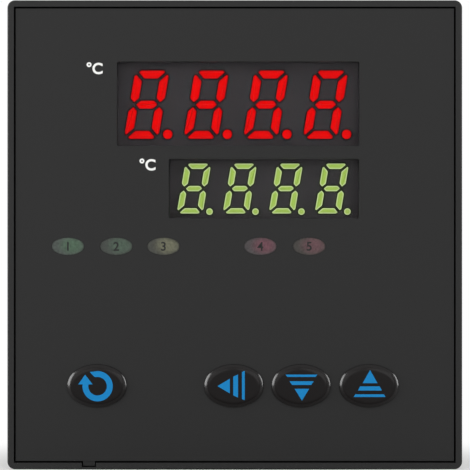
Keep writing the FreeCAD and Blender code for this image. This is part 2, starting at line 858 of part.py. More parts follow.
os.makedirs("parts", exist_ok=True)
for node_name, node_shape in build_nodes().items():
    node_shape.exportStep("parts/" + node_name + ".step")
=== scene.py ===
"""Looks of a panel-mounted PID temperature controller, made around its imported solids."""
import math

import bmesh
import bpy
from bpy.props import FloatProperty, FloatVectorProperty, PointerProperty
from mathutils import Matrix, Vector


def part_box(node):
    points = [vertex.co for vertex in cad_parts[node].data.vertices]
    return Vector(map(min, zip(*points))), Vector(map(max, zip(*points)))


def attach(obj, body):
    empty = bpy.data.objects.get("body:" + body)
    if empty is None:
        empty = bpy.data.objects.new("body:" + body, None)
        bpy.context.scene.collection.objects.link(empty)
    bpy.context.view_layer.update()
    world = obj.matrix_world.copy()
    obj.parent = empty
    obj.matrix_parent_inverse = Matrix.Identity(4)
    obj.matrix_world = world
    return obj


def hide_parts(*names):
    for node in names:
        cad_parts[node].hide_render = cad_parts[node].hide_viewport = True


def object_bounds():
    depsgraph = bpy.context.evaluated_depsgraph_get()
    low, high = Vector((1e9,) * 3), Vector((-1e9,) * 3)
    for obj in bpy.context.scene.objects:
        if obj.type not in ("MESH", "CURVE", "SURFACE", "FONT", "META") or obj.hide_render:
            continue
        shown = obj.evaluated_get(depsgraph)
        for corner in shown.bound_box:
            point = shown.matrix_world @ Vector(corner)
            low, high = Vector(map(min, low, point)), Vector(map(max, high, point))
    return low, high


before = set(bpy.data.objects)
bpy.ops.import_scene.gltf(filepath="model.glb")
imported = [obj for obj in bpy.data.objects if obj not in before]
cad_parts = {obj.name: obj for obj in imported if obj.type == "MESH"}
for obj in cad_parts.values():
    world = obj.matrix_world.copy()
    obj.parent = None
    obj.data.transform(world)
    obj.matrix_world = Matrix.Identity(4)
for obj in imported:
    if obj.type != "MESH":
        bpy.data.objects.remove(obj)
cad_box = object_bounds()

bl_info = {
    "name": "PID temperature controller",
    "version": (1, 0, 0),
    "blender": (4, 5, 0),
    "location": "View3D > Sidebar > Controller",
    "description": "Dresses the solids of a panel-mounted temperature controller",
    "category": "Object",
}

MM = 0.001
KEYS = ("set", "shift", "down", "up")
LENSES = ("output_1", "output_2", "autotune", "alarm_1", "alarm_2")
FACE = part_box("pv_window")[0].y
# the key's outline: how round its ends are, and the steps in each of its four arcs
OVAL_END_SHARE = 0.6
ARC_STEPS = 24
TO_REAR = Matrix.Rotation(math.pi, 4, "Z") @ Matrix.Rotation(math.pi / 2, 4, "X")


def linear(hex_colour):
    """Linear colour from an sRGB hex value."""
    channels = [int(hex_colour[i:i + 2], 16) / 255 for i in (0, 2, 4)]
    return [c / 12.92 if c <= 0.04045 else ((c + 0.055) / 1.055) ** 2.4 for c in channels]


# ---- sizes and colours that a user would change ----
def size_property(name, description, default, low, high):
    """Length property with its default and its range in millimetres."""
    return FloatProperty(name=name, description=description, unit="LENGTH", default=default * MM,
                         min=low * MM, max=high * MM)


def colour_property(name, description, hex_colour):
    """Colour property with its default written as sRGB hex."""
    return FloatVectorProperty(name=name, description=description, subtype="COLOR", size=3,
                               min=0, max=1, default=linear(hex_colour))


class ControllerSizes(bpy.types.PropertyGroup):
    """Sizes of the pieces that are added to the solids"""
    key_roll: size_property("Key edge roll", "Width of the rolled edge round a key's face", 1.3, 0.5, 2)
    key_gap: size_property("Key gap", "Gap between a key cap and its opening", 0.05, 0.02, 0.15)
    segment_corner: size_property("Segment corner", "Corner radius of the large display's segments",
                                  0.2, 0.05, 0.22)
    well_margin: size_property("Well margin", "Dark margin of a segment's well round the segment",
                               0.2, 0.05, 0.25)
    sign_height: size_property("Unit sign height", "Height of the unit signs beside the windows", 2.35, 1, 4)
    lens_number_height: size_property("Lens number height", "Height of the numbers on the lenses", 1.9, 1, 3)
    terminal_number_height: size_property("Terminal number height",
                                          "Height of the numbers beside the terminals", 2.2, 1, 4)
    recess_width: size_property("Screw recess", "Width of the cross recess in a screw head", 0.9, 0.4, 1.2)


class ControllerColours(bpy.types.PropertyGroup):
    """Colours of the controller's finishes"""
    case: colour_property("Case", "Moulded case and bezel", "252525")
    face: colour_property("Face", "Moulded face of the inner unit", "212121")
    window: colour_property("Window", "Tint of the smoked windows", "dbd9db")
    upper_digits: colour_property("Upper digits", "Lit segments of the large display", "fa0402")
    lower_digits: colour_property("Lower digits", "Lit segments of the small display", "9cbd55")
    key: colour_property("Key", "Glossy key caps", "120f0f")
    pictogram: colour_property("Key print", "Printed signs on the keys", "1e84c4")
    sign: colour_property("Unit sign", "Printed unit signs", "f2f2f0")
    board: colour_property("Board", "Solder resist of the boards", "14592c")
    plate: colour_property("Plate", "Bare rating plate on the case's side", "c9cbcc")


# ---- helpers ----
def sizes():
    """The sizes that the panel shows."""
    return bpy.context.scene.controller_sizes


def colours():
    """The colours that the panel shows."""
    return bpy.context.scene.controller_colours


def add_node(tree, kind, inputs=None, links=None, **settings):
    """Adds a node with its settings, its inputs' values and its incoming links."""
    node = tree.nodes.new("ShaderNode" + kind)
    for name, value in settings.items():
        setattr(node, name, value)
    for name, value in (inputs or {}).items():
        node.inputs[name].default_value = value
    for name, output in (links or {}).items():
        tree.links.new(output, node.inputs[name])
    return node


def new_material(name, colour, roughness, **values):
    """Material with one Principled shader, and its tree and shader."""
    material = bpy.data.materials.new(name)
    material.use_nodes = True
    tree = material.node_tree
    shader = tree.nodes["Principled BSDF"]
    shader.inputs["Base Color"].default_value = (*colour, 1)
    shader.inputs["Roughness"].default_value = roughness
    for socket, value in values.items():
        shader.inputs[socket.replace("_", " ")].default_value = value
    return material, tree, shader


def add_grain(tree, shader, grain, depth, roughness, spread):
    """Fine texture of a mould's surface: bump, and a little change of roughness.
    The grain is its spacing in millimetres, and the depth its height."""
    place = add_node(tree, "TexCoord")
    noise = add_node(tree, "TexNoise", {"Scale": 1 / (grain * MM), "Detail": 3, "Roughness": 0.6},
                     {"Vector": place.outputs["Object"]})
    bump = add_node(tree, "Bump", {"Strength": 1, "Distance": depth * MM}, {"Height": noise.outputs["Fac"]})
    tree.links.new(bump.outputs["Normal"], shader.inputs["Normal"])
    spread_node = add_node(tree, "MapRange", {"To Min": roughness - spread, "To Max": roughness + spread},
                           {"Value": noise.outputs["Fac"]})
    tree.links.new(spread_node.outputs["Result"], shader.inputs["Roughness"])
    return noise


def vary_colour(tree, shader, factor, colour, share):
    """Colour that shades a little darker and lighter with a pattern."""
    mix = add_node(tree, "Mix", {"A": (*[c * (1 - share) for c in colour], 1),
                                 "B": (*[min(1, c * (1 + share)) for c in colour], 1)},
                   {"Factor": factor}, data_type="RGBA")
    tree.links.new(mix.outputs["Result"], shader.inputs["Base Color"])


def moulded(name, colour, roughness, grain, depth, specular=0.3, spread=0.05, share=0.06, **values):
    """Moulded plastic with the fine texture of its mould."""
    material, tree, shader = new_material(name, colour, roughness, Specular_IOR_Level=specular, **values)
    noise = add_grain(tree, shader, grain, depth, roughness, spread)
    vary_colour(tree, shader, noise.outputs["Fac"], colour, share)
    return material


def metal(name, hex_colour, roughness, grain, depth):
    """Bare or plated metal, with the soft unevenness of its surface."""
    material, tree, shader = new_material(name, linear(hex_colour), roughness, Metallic=1.0)
    noise = add_grain(tree, shader, grain, depth, roughness, 0.07)
    vary_colour(tree, shader, noise.outputs["Fac"], linear(hex_colour), 0.05)
    return material


def dress(node, material):
    """Gives a node of the frame its material."""
    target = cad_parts[node]
    for slot in target.material_slots:
        slot.material = material
    if not target.material_slots:
        target.data.materials.append(material)


def add_piece(name, bm, body, slot, *materials, replaces=(), smooth=30):
    """Makes an object of a finished mesh, in its place, riding on its body."""
    mesh = bpy.data.meshes.new(name)
    bm.to_mesh(mesh)
    bm.free()
    for material in materials:
        mesh.materials.append(material)
    piece = bpy.data.objects.new(name, mesh)
    bpy.context.collection.objects.link(piece)
    if smooth:
        mesh.shade_smooth()
        mesh.set_sharp_from_angle(angle=math.radians(smooth))
    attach(piece, body)
    if replaces:
        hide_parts(*replaces)
    return piece


def middle(node):
    """Centre of a node's box."""
    low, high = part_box(node)
    return (low + high) / 2


def rolled(bm, verts, roll, segments=2):
    """Rolls the edges between some vertices."""
    chosen = set(verts)
    edges = [e for e in bm.edges if e.verts[0] in chosen and e.verts[1] in chosen]
    bmesh.ops.bevel(bm, geom=edges, offset=roll, segments=segments, profile=0.5, affect="EDGES", material=-1)


def new_box(bm, low, high, roll=0.0, segments=2, material=0):
    """Box between two corners, with its edges rolled or its vertices given back."""
    low, high = Vector(low), Vector(high)
    place = Matrix.Translation((low + high) / 2) @ Matrix.Diagonal((*(high - low), 1))
    made = bmesh.ops.create_cube(bm, size=1, matrix=place)["verts"]
    for face in {f for v in made for f in v.link_faces}:
        face.material_index = material
    if roll:
        rolled(bm, made, roll, segments)
    return made


def new_disc(bm, place, radius, depth, axis, top_share=1.0, sides=12, material=0):
    """Short cylinder or cone from a place, along an axis."""
    turn = Vector((0, 0, 1)).rotation_difference(Vector(axis)).to_matrix().to_4x4()
    matrix = Matrix.Translation(Vector(place) + Vector(axis).normalized() * depth / 2) @ turn
    made = bmesh.ops.create_cone(bm, cap_ends=True, segments=sides, radius1=radius,
                                 radius2=radius * top_share, depth=depth, matrix=matrix)["verts"]
    for face in {f for v in made for f in v.link_faces}:
        face.material_index = material


def copies_of(bm, source, matrices):
    """Adds a finished mesh once for each matrix, and frees it."""
    mesh = bpy.data.meshes.new("copies")
    source.to_mesh(mesh)
    source.free()
    for matrix in matrices:
        copy = mesh.copy()
        copy.transform(matrix)
        bm.from_mesh(copy)
        bpy.data.meshes.remove(copy)
    bpy.data.meshes.remove(mesh)


def extrude_back(bm, faces, depth, keep=False):
    """Extrudes flat faces towards the rear, and keeps the faces themselves where that is asked."""
    raised = bmesh.ops.extrude_face_region(bm, geom=faces, use_keep_orig=keep)["geom"]
    moved = [g for g in raised if isinstance(g, bmesh.types.BMVert)]
    bmesh.ops.translate(bm, verts=moved, vec=(0, depth, 0))


def new_plate(bm, points, front, thickness):
    """Flat plate facing the front, from a few x, z points."""
    corners = [bm.verts.new((x, front, z)) for x, z in points]
    extrude_back(bm, [bm.faces.new(corners)], thickness)


def spun(profile, axis, steps):
    """Closed mesh of a profile in the x, y plane, spun round an axis through the origin."""
    bm = bmesh.new()
    verts = [bm.verts.new((*point, 0)) for point in profile]
    edges = [bm.edges.new(pair) for pair in zip(verts, verts[1:])]
    bmesh.ops.spin(bm, geom=verts + edges, cent=(0, 0, 0), axis=axis, dvec=(0, 0, 0),
                   angle=2 * math.pi, steps=steps, use_merge=True, use_duplicate=False)
    finish_mesh(bm)
    return bm


def new_oval(bm, centre, half_width, half_height, y):
    """Closed oval of four tangent arcs, spun round their centres: the outline of the keys."""
    end_radius = half_height * (OVAL_END_SHARE * half_height / half_width + 1 - OVAL_END_SHARE)
    side_radius = ((half_width ** 2 + half_height ** 2 - 2 * half_width * end_radius)
                   / (2 * (half_height - end_radius)))
    end_x, drop = half_width - end_radius, side_radius - half_height
    end_angle = math.atan2(drop, end_x)
    side_angle = math.pi / 2 - end_angle
    arcs = [((end_x, 0), end_angle * 2), ((0, -drop), side_angle * 2), ((-end_x, 0), end_angle * 2),
            ((0, drop), side_angle * 2)]
    start = Matrix.Rotation(end_angle, 4, "Y") @ Vector((end_radius, 0, 0))
    tip = bm.verts.new((centre.x + end_x + start.x, y, centre.z + start.z))
    first = tip
    for (x, z), angle in arcs:
        made = bmesh.ops.spin(bm, geom=[tip], cent=(centre.x + x, y, centre.z + z), axis=(0, -1, 0),
                              dvec=(0, 0, 0), angle=angle, steps=ARC_STEPS, use_merge=False,
                              use_duplicate=False)
        tip = next(g for g in made["geom_last"] if isinstance(g, bmesh.types.BMVert))
    bmesh.ops.pointmerge(bm, verts=[first, tip], merge_co=first.co)
    border = [e for e in bm.edges if e.is_wire]
    return bmesh.ops.contextual_create(bm, geom=border)["faces"][0]


def finish_mesh(bm, merge=1e-7):
    """Merges doubles and turns the faces outwards."""
    bmesh.ops.remove_doubles(bm, verts=bm.verts, dist=merge)
    bmesh.ops.recalc_face_normals(bm, faces=bm.faces)


def add_text(bm, body, height, place, thickness, weight=0.0, facing=Matrix.Rotation(math.pi / 2, 4, "X")):
    """Adds text as mesh, centred on a place, and facing the front unless turned."""
    cap_share = 0.729
    curve = bpy.data.curves.new("text", "FONT")
    curve.body = body
    curve.size = height / cap_share
    curve.extrude = thickness / 2
    curve.offset = weight
    curve.align_x = "CENTER"
    curve.resolution_u = 6
    holder = bpy.data.objects.new("text", curve)
    bpy.context.collection.objects.link(holder)
    bpy.context.view_layer.update()
    mesh = bpy.data.meshes.new_from_object(holder)
    xs = [v.co.x for v in mesh.vertices]
    ys = [v.co.y for v in mesh.vertices]
    centre = Vector(((min(xs) + max(xs)) / 2, (min(ys) + max(ys)) / 2, 0))
    mesh.transform(Matrix.Translation(place) @ facing @ Matrix.Translation(-centre))
    bm.from_mesh(mesh)
    bpy.data.objects.remove(holder)
    bpy.data.curves.remove(curve)
    bpy.data.meshes.remove(mesh)


# ---- stage ----
CAMERA_LENS = 200.0
CAMERA_SENSOR = 36.0
VIEW_WIDTH = 99.19 * MM
VIEW_CENTRE = (0.045 * MM, -0.055 * MM)
SURROUNDINGS_LIGHT = 0.55
FLOOR_RADIUS = 4.0
FLOOR_GAP = 0.05 * MM
# distances from the middle between which the card turns into the surroundings' white, in metres
CARD_EDGE = (0.045, 0.1)
# place, size and power of each light, in metres and watts: soft panels above the camera at both
# sides and one at the left
PANELS = {"left_front_light": ((-0.35, -0.95, 0.3), (0.6, 0.6), 1.7),
          "right_front_light": ((0.35, -0.95, 0.3), (0.6, 0.6), 2.4),
          "left_light": ((-0.65, -0.45, 0.1), (0.3, 0.6), 1.2)}
# tall strips at the sides that only show as reflections, as on the keys' rolled edges
STRIPS = {"left_strip": ((-0.71, -0.235, 0.05), (0.43, 1.1), 19),
          "right_strip": ((0.74, -0.14, -0.03), (0.2, 1.1), 11)}


class CONTROLLER_OT_stage(bpy.types.Operator):
    """Adds the floor, the light, the white surroundings and the camera"""
    bl_idname = "controller.stage"
    bl_label = "Stage"

    def execute(self, context):
        self.add_camera(context)
        self.add_floor(cad_box[0].z)
        self.add_world(context)
        for name, values in PANELS.items():
            self.add_light(name, *values)
        for name, values in STRIPS.items():
            self.add_light(name, *values, only_reflected=True)
        return {"FINISHED"}

    def add_camera(self, context):
        data = bpy.data.cameras.new("camera")
        data.lens = CAMERA_LENS
        data.sensor_width = CAMERA_SENSOR
        camera = bpy.data.objects.new("camera", data)
        context.collection.objects.link(camera)
        bezel_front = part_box("case_shell")[0].y
        distance = VIEW_WIDTH / CAMERA_SENSOR * CAMERA_LENS
        camera.location = (VIEW_CENTRE[0], bezel_front - distance, VIEW_CENTRE[1])
        camera.rotation_euler = (math.pi / 2, 0, 0)
        context.scene.camera = camera

    def seen(self, tree):
        """1 for what the camera sees, by itself, in a reflection or through a window, 0 for light."""
        path = add_node(tree, "LightPath")
        share = path.outputs["Is Camera Ray"]
        for kind in ("Is Glossy Ray", "Is Transmission Ray"):
            share = add_node(tree, "Math", links={0: share, 1: path.outputs[kind]},
                             operation="MAXIMUM").outputs[0]
        return share

    def add_floor(self, height):
        bm = bmesh.new()
        bmesh.ops.create_circle(bm, cap_ends=True, segments=96, radius=FLOOR_RADIUS,
                                matrix=Matrix.Translation((0, 0, height - FLOOR_GAP)))
        mesh = bpy.data.meshes.new("floor")
        bm.to_mesh(mesh)
        bm.free()
        floor = bpy.data.objects.new("floor", mesh)
        bpy.context.collection.objects.link(floor)
        # matt card: plain white near the object, and the white of the surroundings far from it
        material, tree, shader = new_material("floor_card", linear("f0f0ee"), 0.9, Specular_IOR_Level=0.1)
        place = add_node(tree, "TexCoord")
        distance = add_node(tree, "VectorMath", links={0: place.outputs["Object"]}, operation="LENGTH")
        far = add_node(tree, "MapRange", {"From Min": CARD_EDGE[0], "From Max": CARD_EDGE[1]},
                       {"Value": distance.outputs["Value"]}, interpolation_type="SMOOTHSTEP")
        share = add_node(tree, "Math", links={0: far.outputs["Result"], 1: self.seen(tree)},
                         operation="MULTIPLY")
        white = add_node(tree, "Emission", {"Color": (1, 1, 1, 1), "Strength": 1})
        both = add_node(tree, "MixShader", links={0: share.outputs[0], 1: shader.outputs[0],
                                                  2: white.outputs[0]})
        tree.links.new(both.outputs[0], tree.nodes["Material Output"].inputs["Surface"])
        mesh.materials.append(material)

    def add_world(self, context):
        world = bpy.data.worlds.new("surroundings")
        world.use_nodes = True
        context.scene.world = world
        tree = world.node_tree
        light = tree.nodes["Background"]
        light.inputs["Color"].default_value = (1, 1, 1, 1)
        light.inputs["Strength"].default_value = SURROUNDINGS_LIGHT
        white = add_node(tree, "Background", {"Color": (1, 1, 1, 1), "Strength": 1})
        both = add_node(tree, "MixShader", links={0: self.seen(tree), 1: light.outputs[0],
                                                  2: white.outputs[0]})
        tree.links.new(both.outputs[0], tree.nodes["World Output"].inputs["Surface"])

    def add_light(self, name, place, size, power, only_reflected=False):
        data = bpy.data.lights.new(name, "AREA")
        data.shape = "RECTANGLE"
        data.size, data.size_y = size
        data.energy = power
        lamp = bpy.data.objects.new(name, data)
        lamp.visible_camera = False
        lamp.visible_diffuse = lamp.visible_transmission = not only_reflected
        bpy.context.collection.objects.link(lamp)
        lamp.location = place
        lamp.rotation_euler = (-Vector(place)).to_track_quat("-Z", "Y").to_euler()


# ---- case and terminals ----
TERMINAL_PITCH = 8.3 * MM
WASHER_WIDTH = 6.2 * MM
WASHER_THICKNESS = 1.0 * MM
HEAD_RADIUS = 2.8 * MM
# shares of the head's radius and height, from its top down to its seat
HEAD_PROFILE = [(0.0, 1.0), (0.35, 0.995), (0.62, 0.95), (0.84, 0.8), (0.96, 0.5), (1.0, 0.1), (1.0, 0.0),
                (0.0, 0.0)]
NUMBER_FROM_BLOCK = 3.6 * MM
BLOCK_TO_WALL = 0.5 * MM


def terminal_heights():
    """Heights of the terminals, from the lowest up."""
    low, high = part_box("terminal_screws")
    rows = round((high.z - low.z - WASHER_WIDTH) / TERMINAL_PITCH) + 1
    return [low.z + WASHER_WIDTH / 2 + row * TERMINAL_PITCH for row in range(rows)]


class CONTROLLER_OT_case(bpy.types.Operator):
    """Gives the case and its terminal blocks their moulded finish, and the case its bare plate"""
    bl_idname = "controller.case"
    bl_label = "Case"

    def execute(self, context):
        # flame-retardant ABS from a spark-eroded mould: a fine even grain that keeps light dull
        dress("case_shell", moulded("eroded_abs_case", colours().case, 0.55, 0.35, 0.012, specular=0.14))
        # glass-filled nylon, moulded: darker and a little duller, with a coarser grain
        nylon = moulded("glass_filled_nylon", linear("191919"), 0.6, 0.5, 0.015, specular=0.3)
        for side in ("left", "right"):
            dress("terminal_block_" + side, nylon)
        # brass strip under a bright tin plate, rolled: pale, with a soft metal sheen
        dress("terminal_contacts", metal("tinned_brass", "c9c2ae", 0.32, 0.6, 0.004))
        self.add_rating_plate()
        return {"FINISHED"}

    def add_rating_plate(self):
        """Bare self-adhesive plate on the case's right side, with rounded corners and a border."""
        # matt polyester film: even silver grey with a fine satin grain
        film = moulded("printed_polyester_film", colours().plate, 0.5, 0.25, 0.002, specular=0.3, share=0.02)
        # screen-printed border: dark grey, flat
        ink = moulded("grey_border_ink", linear("4c4f52"), 0.6, 0.2, 0.002, specular=0.2)
        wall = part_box("terminal_block_right")[1].x + BLOCK_TO_WALL
        thickness, ink_depth, corner = 0.1 * MM, 0.03 * MM, 2.0 * MM
        low, high = Vector((wall, 14 * MM, -21 * MM)), Vector((wall + thickness, 66 * MM, 21 * MM))
        bm = bmesh.new()
        new_box(bm, low, high)
        upright = [e for e in bm.edges if abs(e.verts[0].co.x - e.verts[1].co.x) > thickness / 2]
        bmesh.ops.bevel(bm, geom=upright, offset=corner, segments=5, profile=0.5, affect="EDGES", material=-1)
        add_piece("rating_plate_bare", bm, "case", "case_plastic", film)
        bm = bmesh.new()
        margin, line = 2.0 * MM, 0.35 * MM
        rows = [low.z + margin + share * (high.z - low.z - 2 * margin - line) for share in (0, 0.35, 0.7, 1)]
        front, rear = wall + thickness, wall + thickness + ink_depth
        for z in rows:
            new_box(bm, (front, low.y + margin, z), (rear, high.y - margin, z + line))
        for y in (low.y + margin, high.y - margin - line):
            for below, above in zip(rows, rows[1:]):
                new_box(bm, (front, y, below + line), (rear, y + line, above))
        add_piece("rating_plate_border", bm, "case", "case_plastic", ink, smooth=0)


class CONTROLLER_OT_terminal_screws(bpy.types.Operator):
    """Makes the terminal screws with their cross recesses and captive washers"""
    bl_idname = "controller.terminal_screws"
    bl_label = "Terminal screws"

    def execute(self, context):
        # steel under bright zinc, cold-headed: light grey metal with a faint blue sheen
        zinc = metal("zinc_plated_steel", "c3c6cb", 0.3, 0.9, 0.004)
        low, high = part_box("terminal_screws")
        washer_rear = low.y + WASHER_THICKNESS
        head = self.head(high.y - washer_rear, sizes().recess_width)
        washer = bmesh.new()
        half = WASHER_WIDTH / 2
        new_box(washer, (-half, low.y, -half), (half, washer_rear, half), 0.12 * MM)
        bm = bmesh.new()
        places = [(Vector((side * (high.x - half), 0, z)), turn)
                  for side in (-1, 1) for turn, z in enumerate(terminal_heights())]
        copies_of(bm, washer, [Matrix.Translation(place) for place, turn in places])
        # each screw stopped at its own angle
        copies_of(bm, head, [Matrix.Translation(place + Vector((0, washer_rear, 0)))
                             @ Matrix.Rotation(0.7 * turn + place.x * 90, 4, "Y") for place, turn in places])
        add_piece("terminal_screws_cross_recess", bm, "case", "screw_steel", zinc,
                  replaces=("terminal_screws",))
        return {"FINISHED"}

    def head(self, height, recess):
        """Pan head spun from its profile, with a cross cut out of its top."""
        bm = spun([(r * HEAD_RADIUS, h * height) for r, h in HEAD_PROFILE], (0, 1, 0), 24)
        cutter = bmesh.new()
        reach, bottom, above = HEAD_RADIUS * 0.62, height * 0.45, height * 1.2
        for x, z in ((reach, recess / 2), (recess / 2, reach)):
            new_box(cutter, (-x, bottom, -z), (x, above, z))
        return cut_away(bm, cutter)


def cut_away(bm, cutter):
    """What is left of a closed mesh after another is cut from it."""
    holders = []
    for shape in (bm, cutter):
        mesh = bpy.data.meshes.new("cutting")
        shape.to_mesh(mesh)
        shape.free()
        holders.append(bpy.data.objects.new("cutting", mesh))
        bpy.context.collection.objects.link(holders[-1])
    modifier = holders[0].modifiers.new("cut", "BOOLEAN")
    modifier.object = holders[1]
    modifier.solver = "EXACT"
    modifier.use_self = True
    shaped = holders[0].evaluated_get(bpy.context.evaluated_depsgraph_get())
    mesh = bpy.data.meshes.new_from_object(shaped)
    left = bmesh.new()
    left.from_mesh(mesh)
    bpy.data.meshes.remove(mesh)
    for holder in holders:
        data = holder.data
        bpy.data.objects.remove(holder)
        bpy.data.meshes.remove(data)
    return left


class CONTROLLER_OT_terminal_numbers(bpy.types.Operator):
    """Prints plain numbers beside the terminals"""
    bl_idname = "controller.terminal_numbers"
    bl_label = "Terminal numbers"

    def execute(self, context):
        # pad-printed white ink on the grained back wall: opaque, with soft edges
        ink = moulded("white_pad_ink", colours().sign, 0.6, 0.3, 0.004, specular=0.2)
        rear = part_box("case_shell")[1].y
        depth = 0.05 * MM
        bm = bmesh.new()
        heights = list(reversed(terminal_heights()))
        for side in (1, -1):
            x = side * (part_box("terminal_block_right")[0].x - NUMBER_FROM_BLOCK)
            for row, z in enumerate(heights, 1 if side > 0 else 1 + len(heights)):
                add_text(bm, str(row), sizes().terminal_number_height, (x, rear + depth / 2, z), depth,
                         weight=0.05 * MM, facing=TO_REAR)
        finish_mesh(bm)
        add_piece("terminal_numbers", bm, "case", "case_plastic", ink, smooth=0)
        return {"FINISHED"}


# ---- front ----
class CONTROLLER_OT_front(bpy.types.Operator):
    """Gives the face and its smoked windows their finish"""
    bl_idname = "controller.front"
    bl_label = "Face and windows"

    def execute(self, context):
        # ABS from a finely blasted mould: an even satin grey, smoother than the case
        dress("front_frame", moulded("blasted_abs_face", colours().face, 0.5, 0.25, 0.006, specular=0.15))
        # smoked acrylic under an anti-glare coat: smooth and see-through, with a grey cast over
        # what is behind, and so low an index that hardly any light comes back from it
        smoke, tree, shader = new_material("coated_smoked_acrylic", colours().window, 0.04, IOR=1.1,
                                           Transmission_Weight=1.0, Specular_IOR_Level=0.06)
        add_grain(tree, shader, 4.0, 0.002, 0.04, 0.01)
        for node in ("pv_window", "sv_window"):
            dress(node, smoke)
        return {"FINISHED"}


SEAL_SETBACK = 4.0 * MM
# width of the rim where a segment's light changes, how far a segment is inside its outline, and
# the least turn of the outline that counts as a corner
SEGMENT_RIM = 0.3 * MM
SEGMENT_SETBACK = 0.05 * MM
SHARP_TURN = math.radians(29)


class CONTROLLER_OT_displays(bpy.types.Operator):
    """Makes the lit segments of the two displays, in dark wells on their housings"""
    bl_idname = "controller.displays"
    bl_label = "Displays"

    def execute(self, context):
        # polycarbonate housing with a painted grey-black front: dull, so that lit digits stand out
        paint = moulded("painted_display_front", linear("464546"), 0.7, 0.3, 0.004, specular=0.05)
        for node in ("pv_display_housing", "sv_display_housing"):
            dress(node, paint)
        self.add_seals(paint)
        corner = sizes().segment_corner
        # cast epoxy over the chips: even saturated light, a little darker or paler at the rim,
        # where the light leaves the resin sideways
        red = self.resin("red_epoxy_lit", colours().upper_digits, linear("a81020"), 0.7)
        green = self.resin("yellow_green_epoxy_lit", colours().lower_digits, linear("d0deb2"), 1.17)
        # moulded black wells round the segments; round the green segments the wells are dark green, painted
        # spill of the green light
        black = moulded("moulded_black_well", linear("1d1917"), 0.6, 0.3, 0.004, specular=0.1)
        painted_spill_green = moulded("well_with_painted_green_spill", linear("2a3a10"), 0.6, 0.3, 0.004, specular=0.1)
        self.add_segments("pv", corner, red, black, "red_segment")
        self.add_segments("sv", corner * 0.6, green, painted_spill_green, "green_segment")
        return {"FINISHED"}

    def add_seals(self, paint):
        """Strips that close the gaps beside the large display, behind its window's side edges."""
        low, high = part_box("pv_display_housing")
        window_low, window_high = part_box("pv_window")
        inside = 0.1 * MM
        bm = bmesh.new()
        new_box(bm, (window_low.x + inside, low.y, low.z), (low.x, high.y - SEAL_SETBACK, high.z))
        new_box(bm, (high.x, low.y, low.z), (window_high.x - inside, high.y - SEAL_SETBACK, high.z))
        add_piece("pv_display_seals", bm, "inner_unit", "display_plastic", paint, smooth=0)

    def resin(self, name, colour, rim_colour, strength):
        """Lit resin, whose colour changes towards the rim of a segment."""
        material, tree, shader = new_material(name, [c * 0.4 for c in colour], 0.5,
                                              Specular_IOR_Level=0.02, Emission_Strength=strength)
        add_grain(tree, shader, 0.3, 0.003, 0.5, 0.05)
        rim = add_node(tree, "Attribute", attribute_name="rim", attribute_type="GEOMETRY")
        mix = add_node(tree, "Mix", {"A": (*colour, 1), "B": (*rim_colour, 1)},
                       {"Factor": rim.outputs["Fac"]}, data_type="RGBA")
        tree.links.new(mix.outputs["Result"], shader.inputs["Emission Color"])
        return material

    def outlines(self, node):
        """The fronts of a display's segments, as flat faces with their true outlines."""
        bm = bmesh.new()
        bm.from_mesh(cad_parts[node].data)
        bmesh.ops.remove_doubles(bm, verts=bm.verts, dist=1e-7)
        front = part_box(node)[0].y
        behind = [f for f in bm.faces if f.calc_center_median().y > front + 1e-6]
        bmesh.ops.delete(bm, geom=behind, context="FACES")
        bmesh.ops.dissolve_limit(bm, angle_limit=math.radians(1), verts=bm.verts, edges=bm.edges)
        return bm

    def turn(self, vert):
        """Angle by which a flat outline turns at a corner."""
        before, after = [edge.other_vert(vert).co - vert.co for edge in vert.link_edges]
        return math.pi - before.angle(after)

    def round_corners(self, bm, radius):
        """Rounds the corners of flat outlines, but not those that are round already."""
        corners = [v for v in bm.verts if len(v.link_edges) == 2 and self.turn(v) > SHARP_TURN]
        bmesh.ops.bevel(bm, geom=corners, offset=radius, segments=3, profile=0.5, affect="VERTICES",
                        material=-1)

    def plates(self, node, corner, front, depth, grow=0.0):
        """Closed plates with the outlines of the segments, larger by a margin, and their fronts."""
        bm = self.outlines(node)
        self.round_corners(bm, corner)
        for face in list(bm.faces):
            if face.normal.y > 0:
                face.normal_flip()
        fronts = list(bm.faces)
        if grow:
            # a negative inset moves the outline outwards and leaves a folded ring, which goes
            rings = bmesh.ops.inset_individual(bm, faces=fronts, thickness=-grow, use_even_offset=True)
            bmesh.ops.delete(bm, geom=rings["faces"], context="FACES")
        bmesh.ops.translate(bm, verts=bm.verts, vec=(0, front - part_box(node)[0].y, 0))
        extrude_back(bm, fronts, depth, keep=True)
        bmesh.ops.recalc_face_normals(bm, faces=bm.faces)
        return bm, [f for f in bm.faces if f.normal.y < -0.9]

    def add_segments(self, display, corner, lit, dark, slot):
        node = display + "_display_segments"
        front, rear = [point.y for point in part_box(node)]
        # each segment is a plate with rounded corners, and a rim that the shader reads
        bm, fronts = self.plates(node, corner, front, rear - front, grow=-SEGMENT_SETBACK)
        rim = bm.verts.layers.float.new("rim")
        for vert in bm.verts:
            vert[rim] = 1
        bmesh.ops.inset_individual(bm, faces=fronts, thickness=SEGMENT_RIM, use_even_offset=True)
        for vert in {v for face in fronts for v in face.verts}:
            vert[rim] = 0
        add_piece(node + "_rounded", bm, "inner_unit", slot, lit, replaces=(node,), smooth=0)
        # the well is a thin dark ledge on the housing, a little larger than its segment
        ledge = (rear - front) / 2
        bm, fronts = self.plates(node, corner, rear - ledge, ledge, grow=sizes().well_margin)
        add_piece(display + "_segment_wells", bm, "inner_unit", "display_plastic", dark, smooth=0)


# centre of the painted lamp glow, from a lens's centre, and half the sizes of the painted glow and of the
# lens inside its painted dark rim shade; each with where it starts to fade and where it ends
PAINTED_GLOW_OFFSET = Vector((0.9 * MM, 0.0, 0.2 * MM))
PAINTED_LAMP_GLOW = ((3.4 * MM, 2.4 * MM), 0.25, 1.05)
PAINTED_RIM_SHADE = ((3.4 * MM, 1.85 * MM), 0.86, 1.12)
PRINT_DEPTH = 0.04 * MM


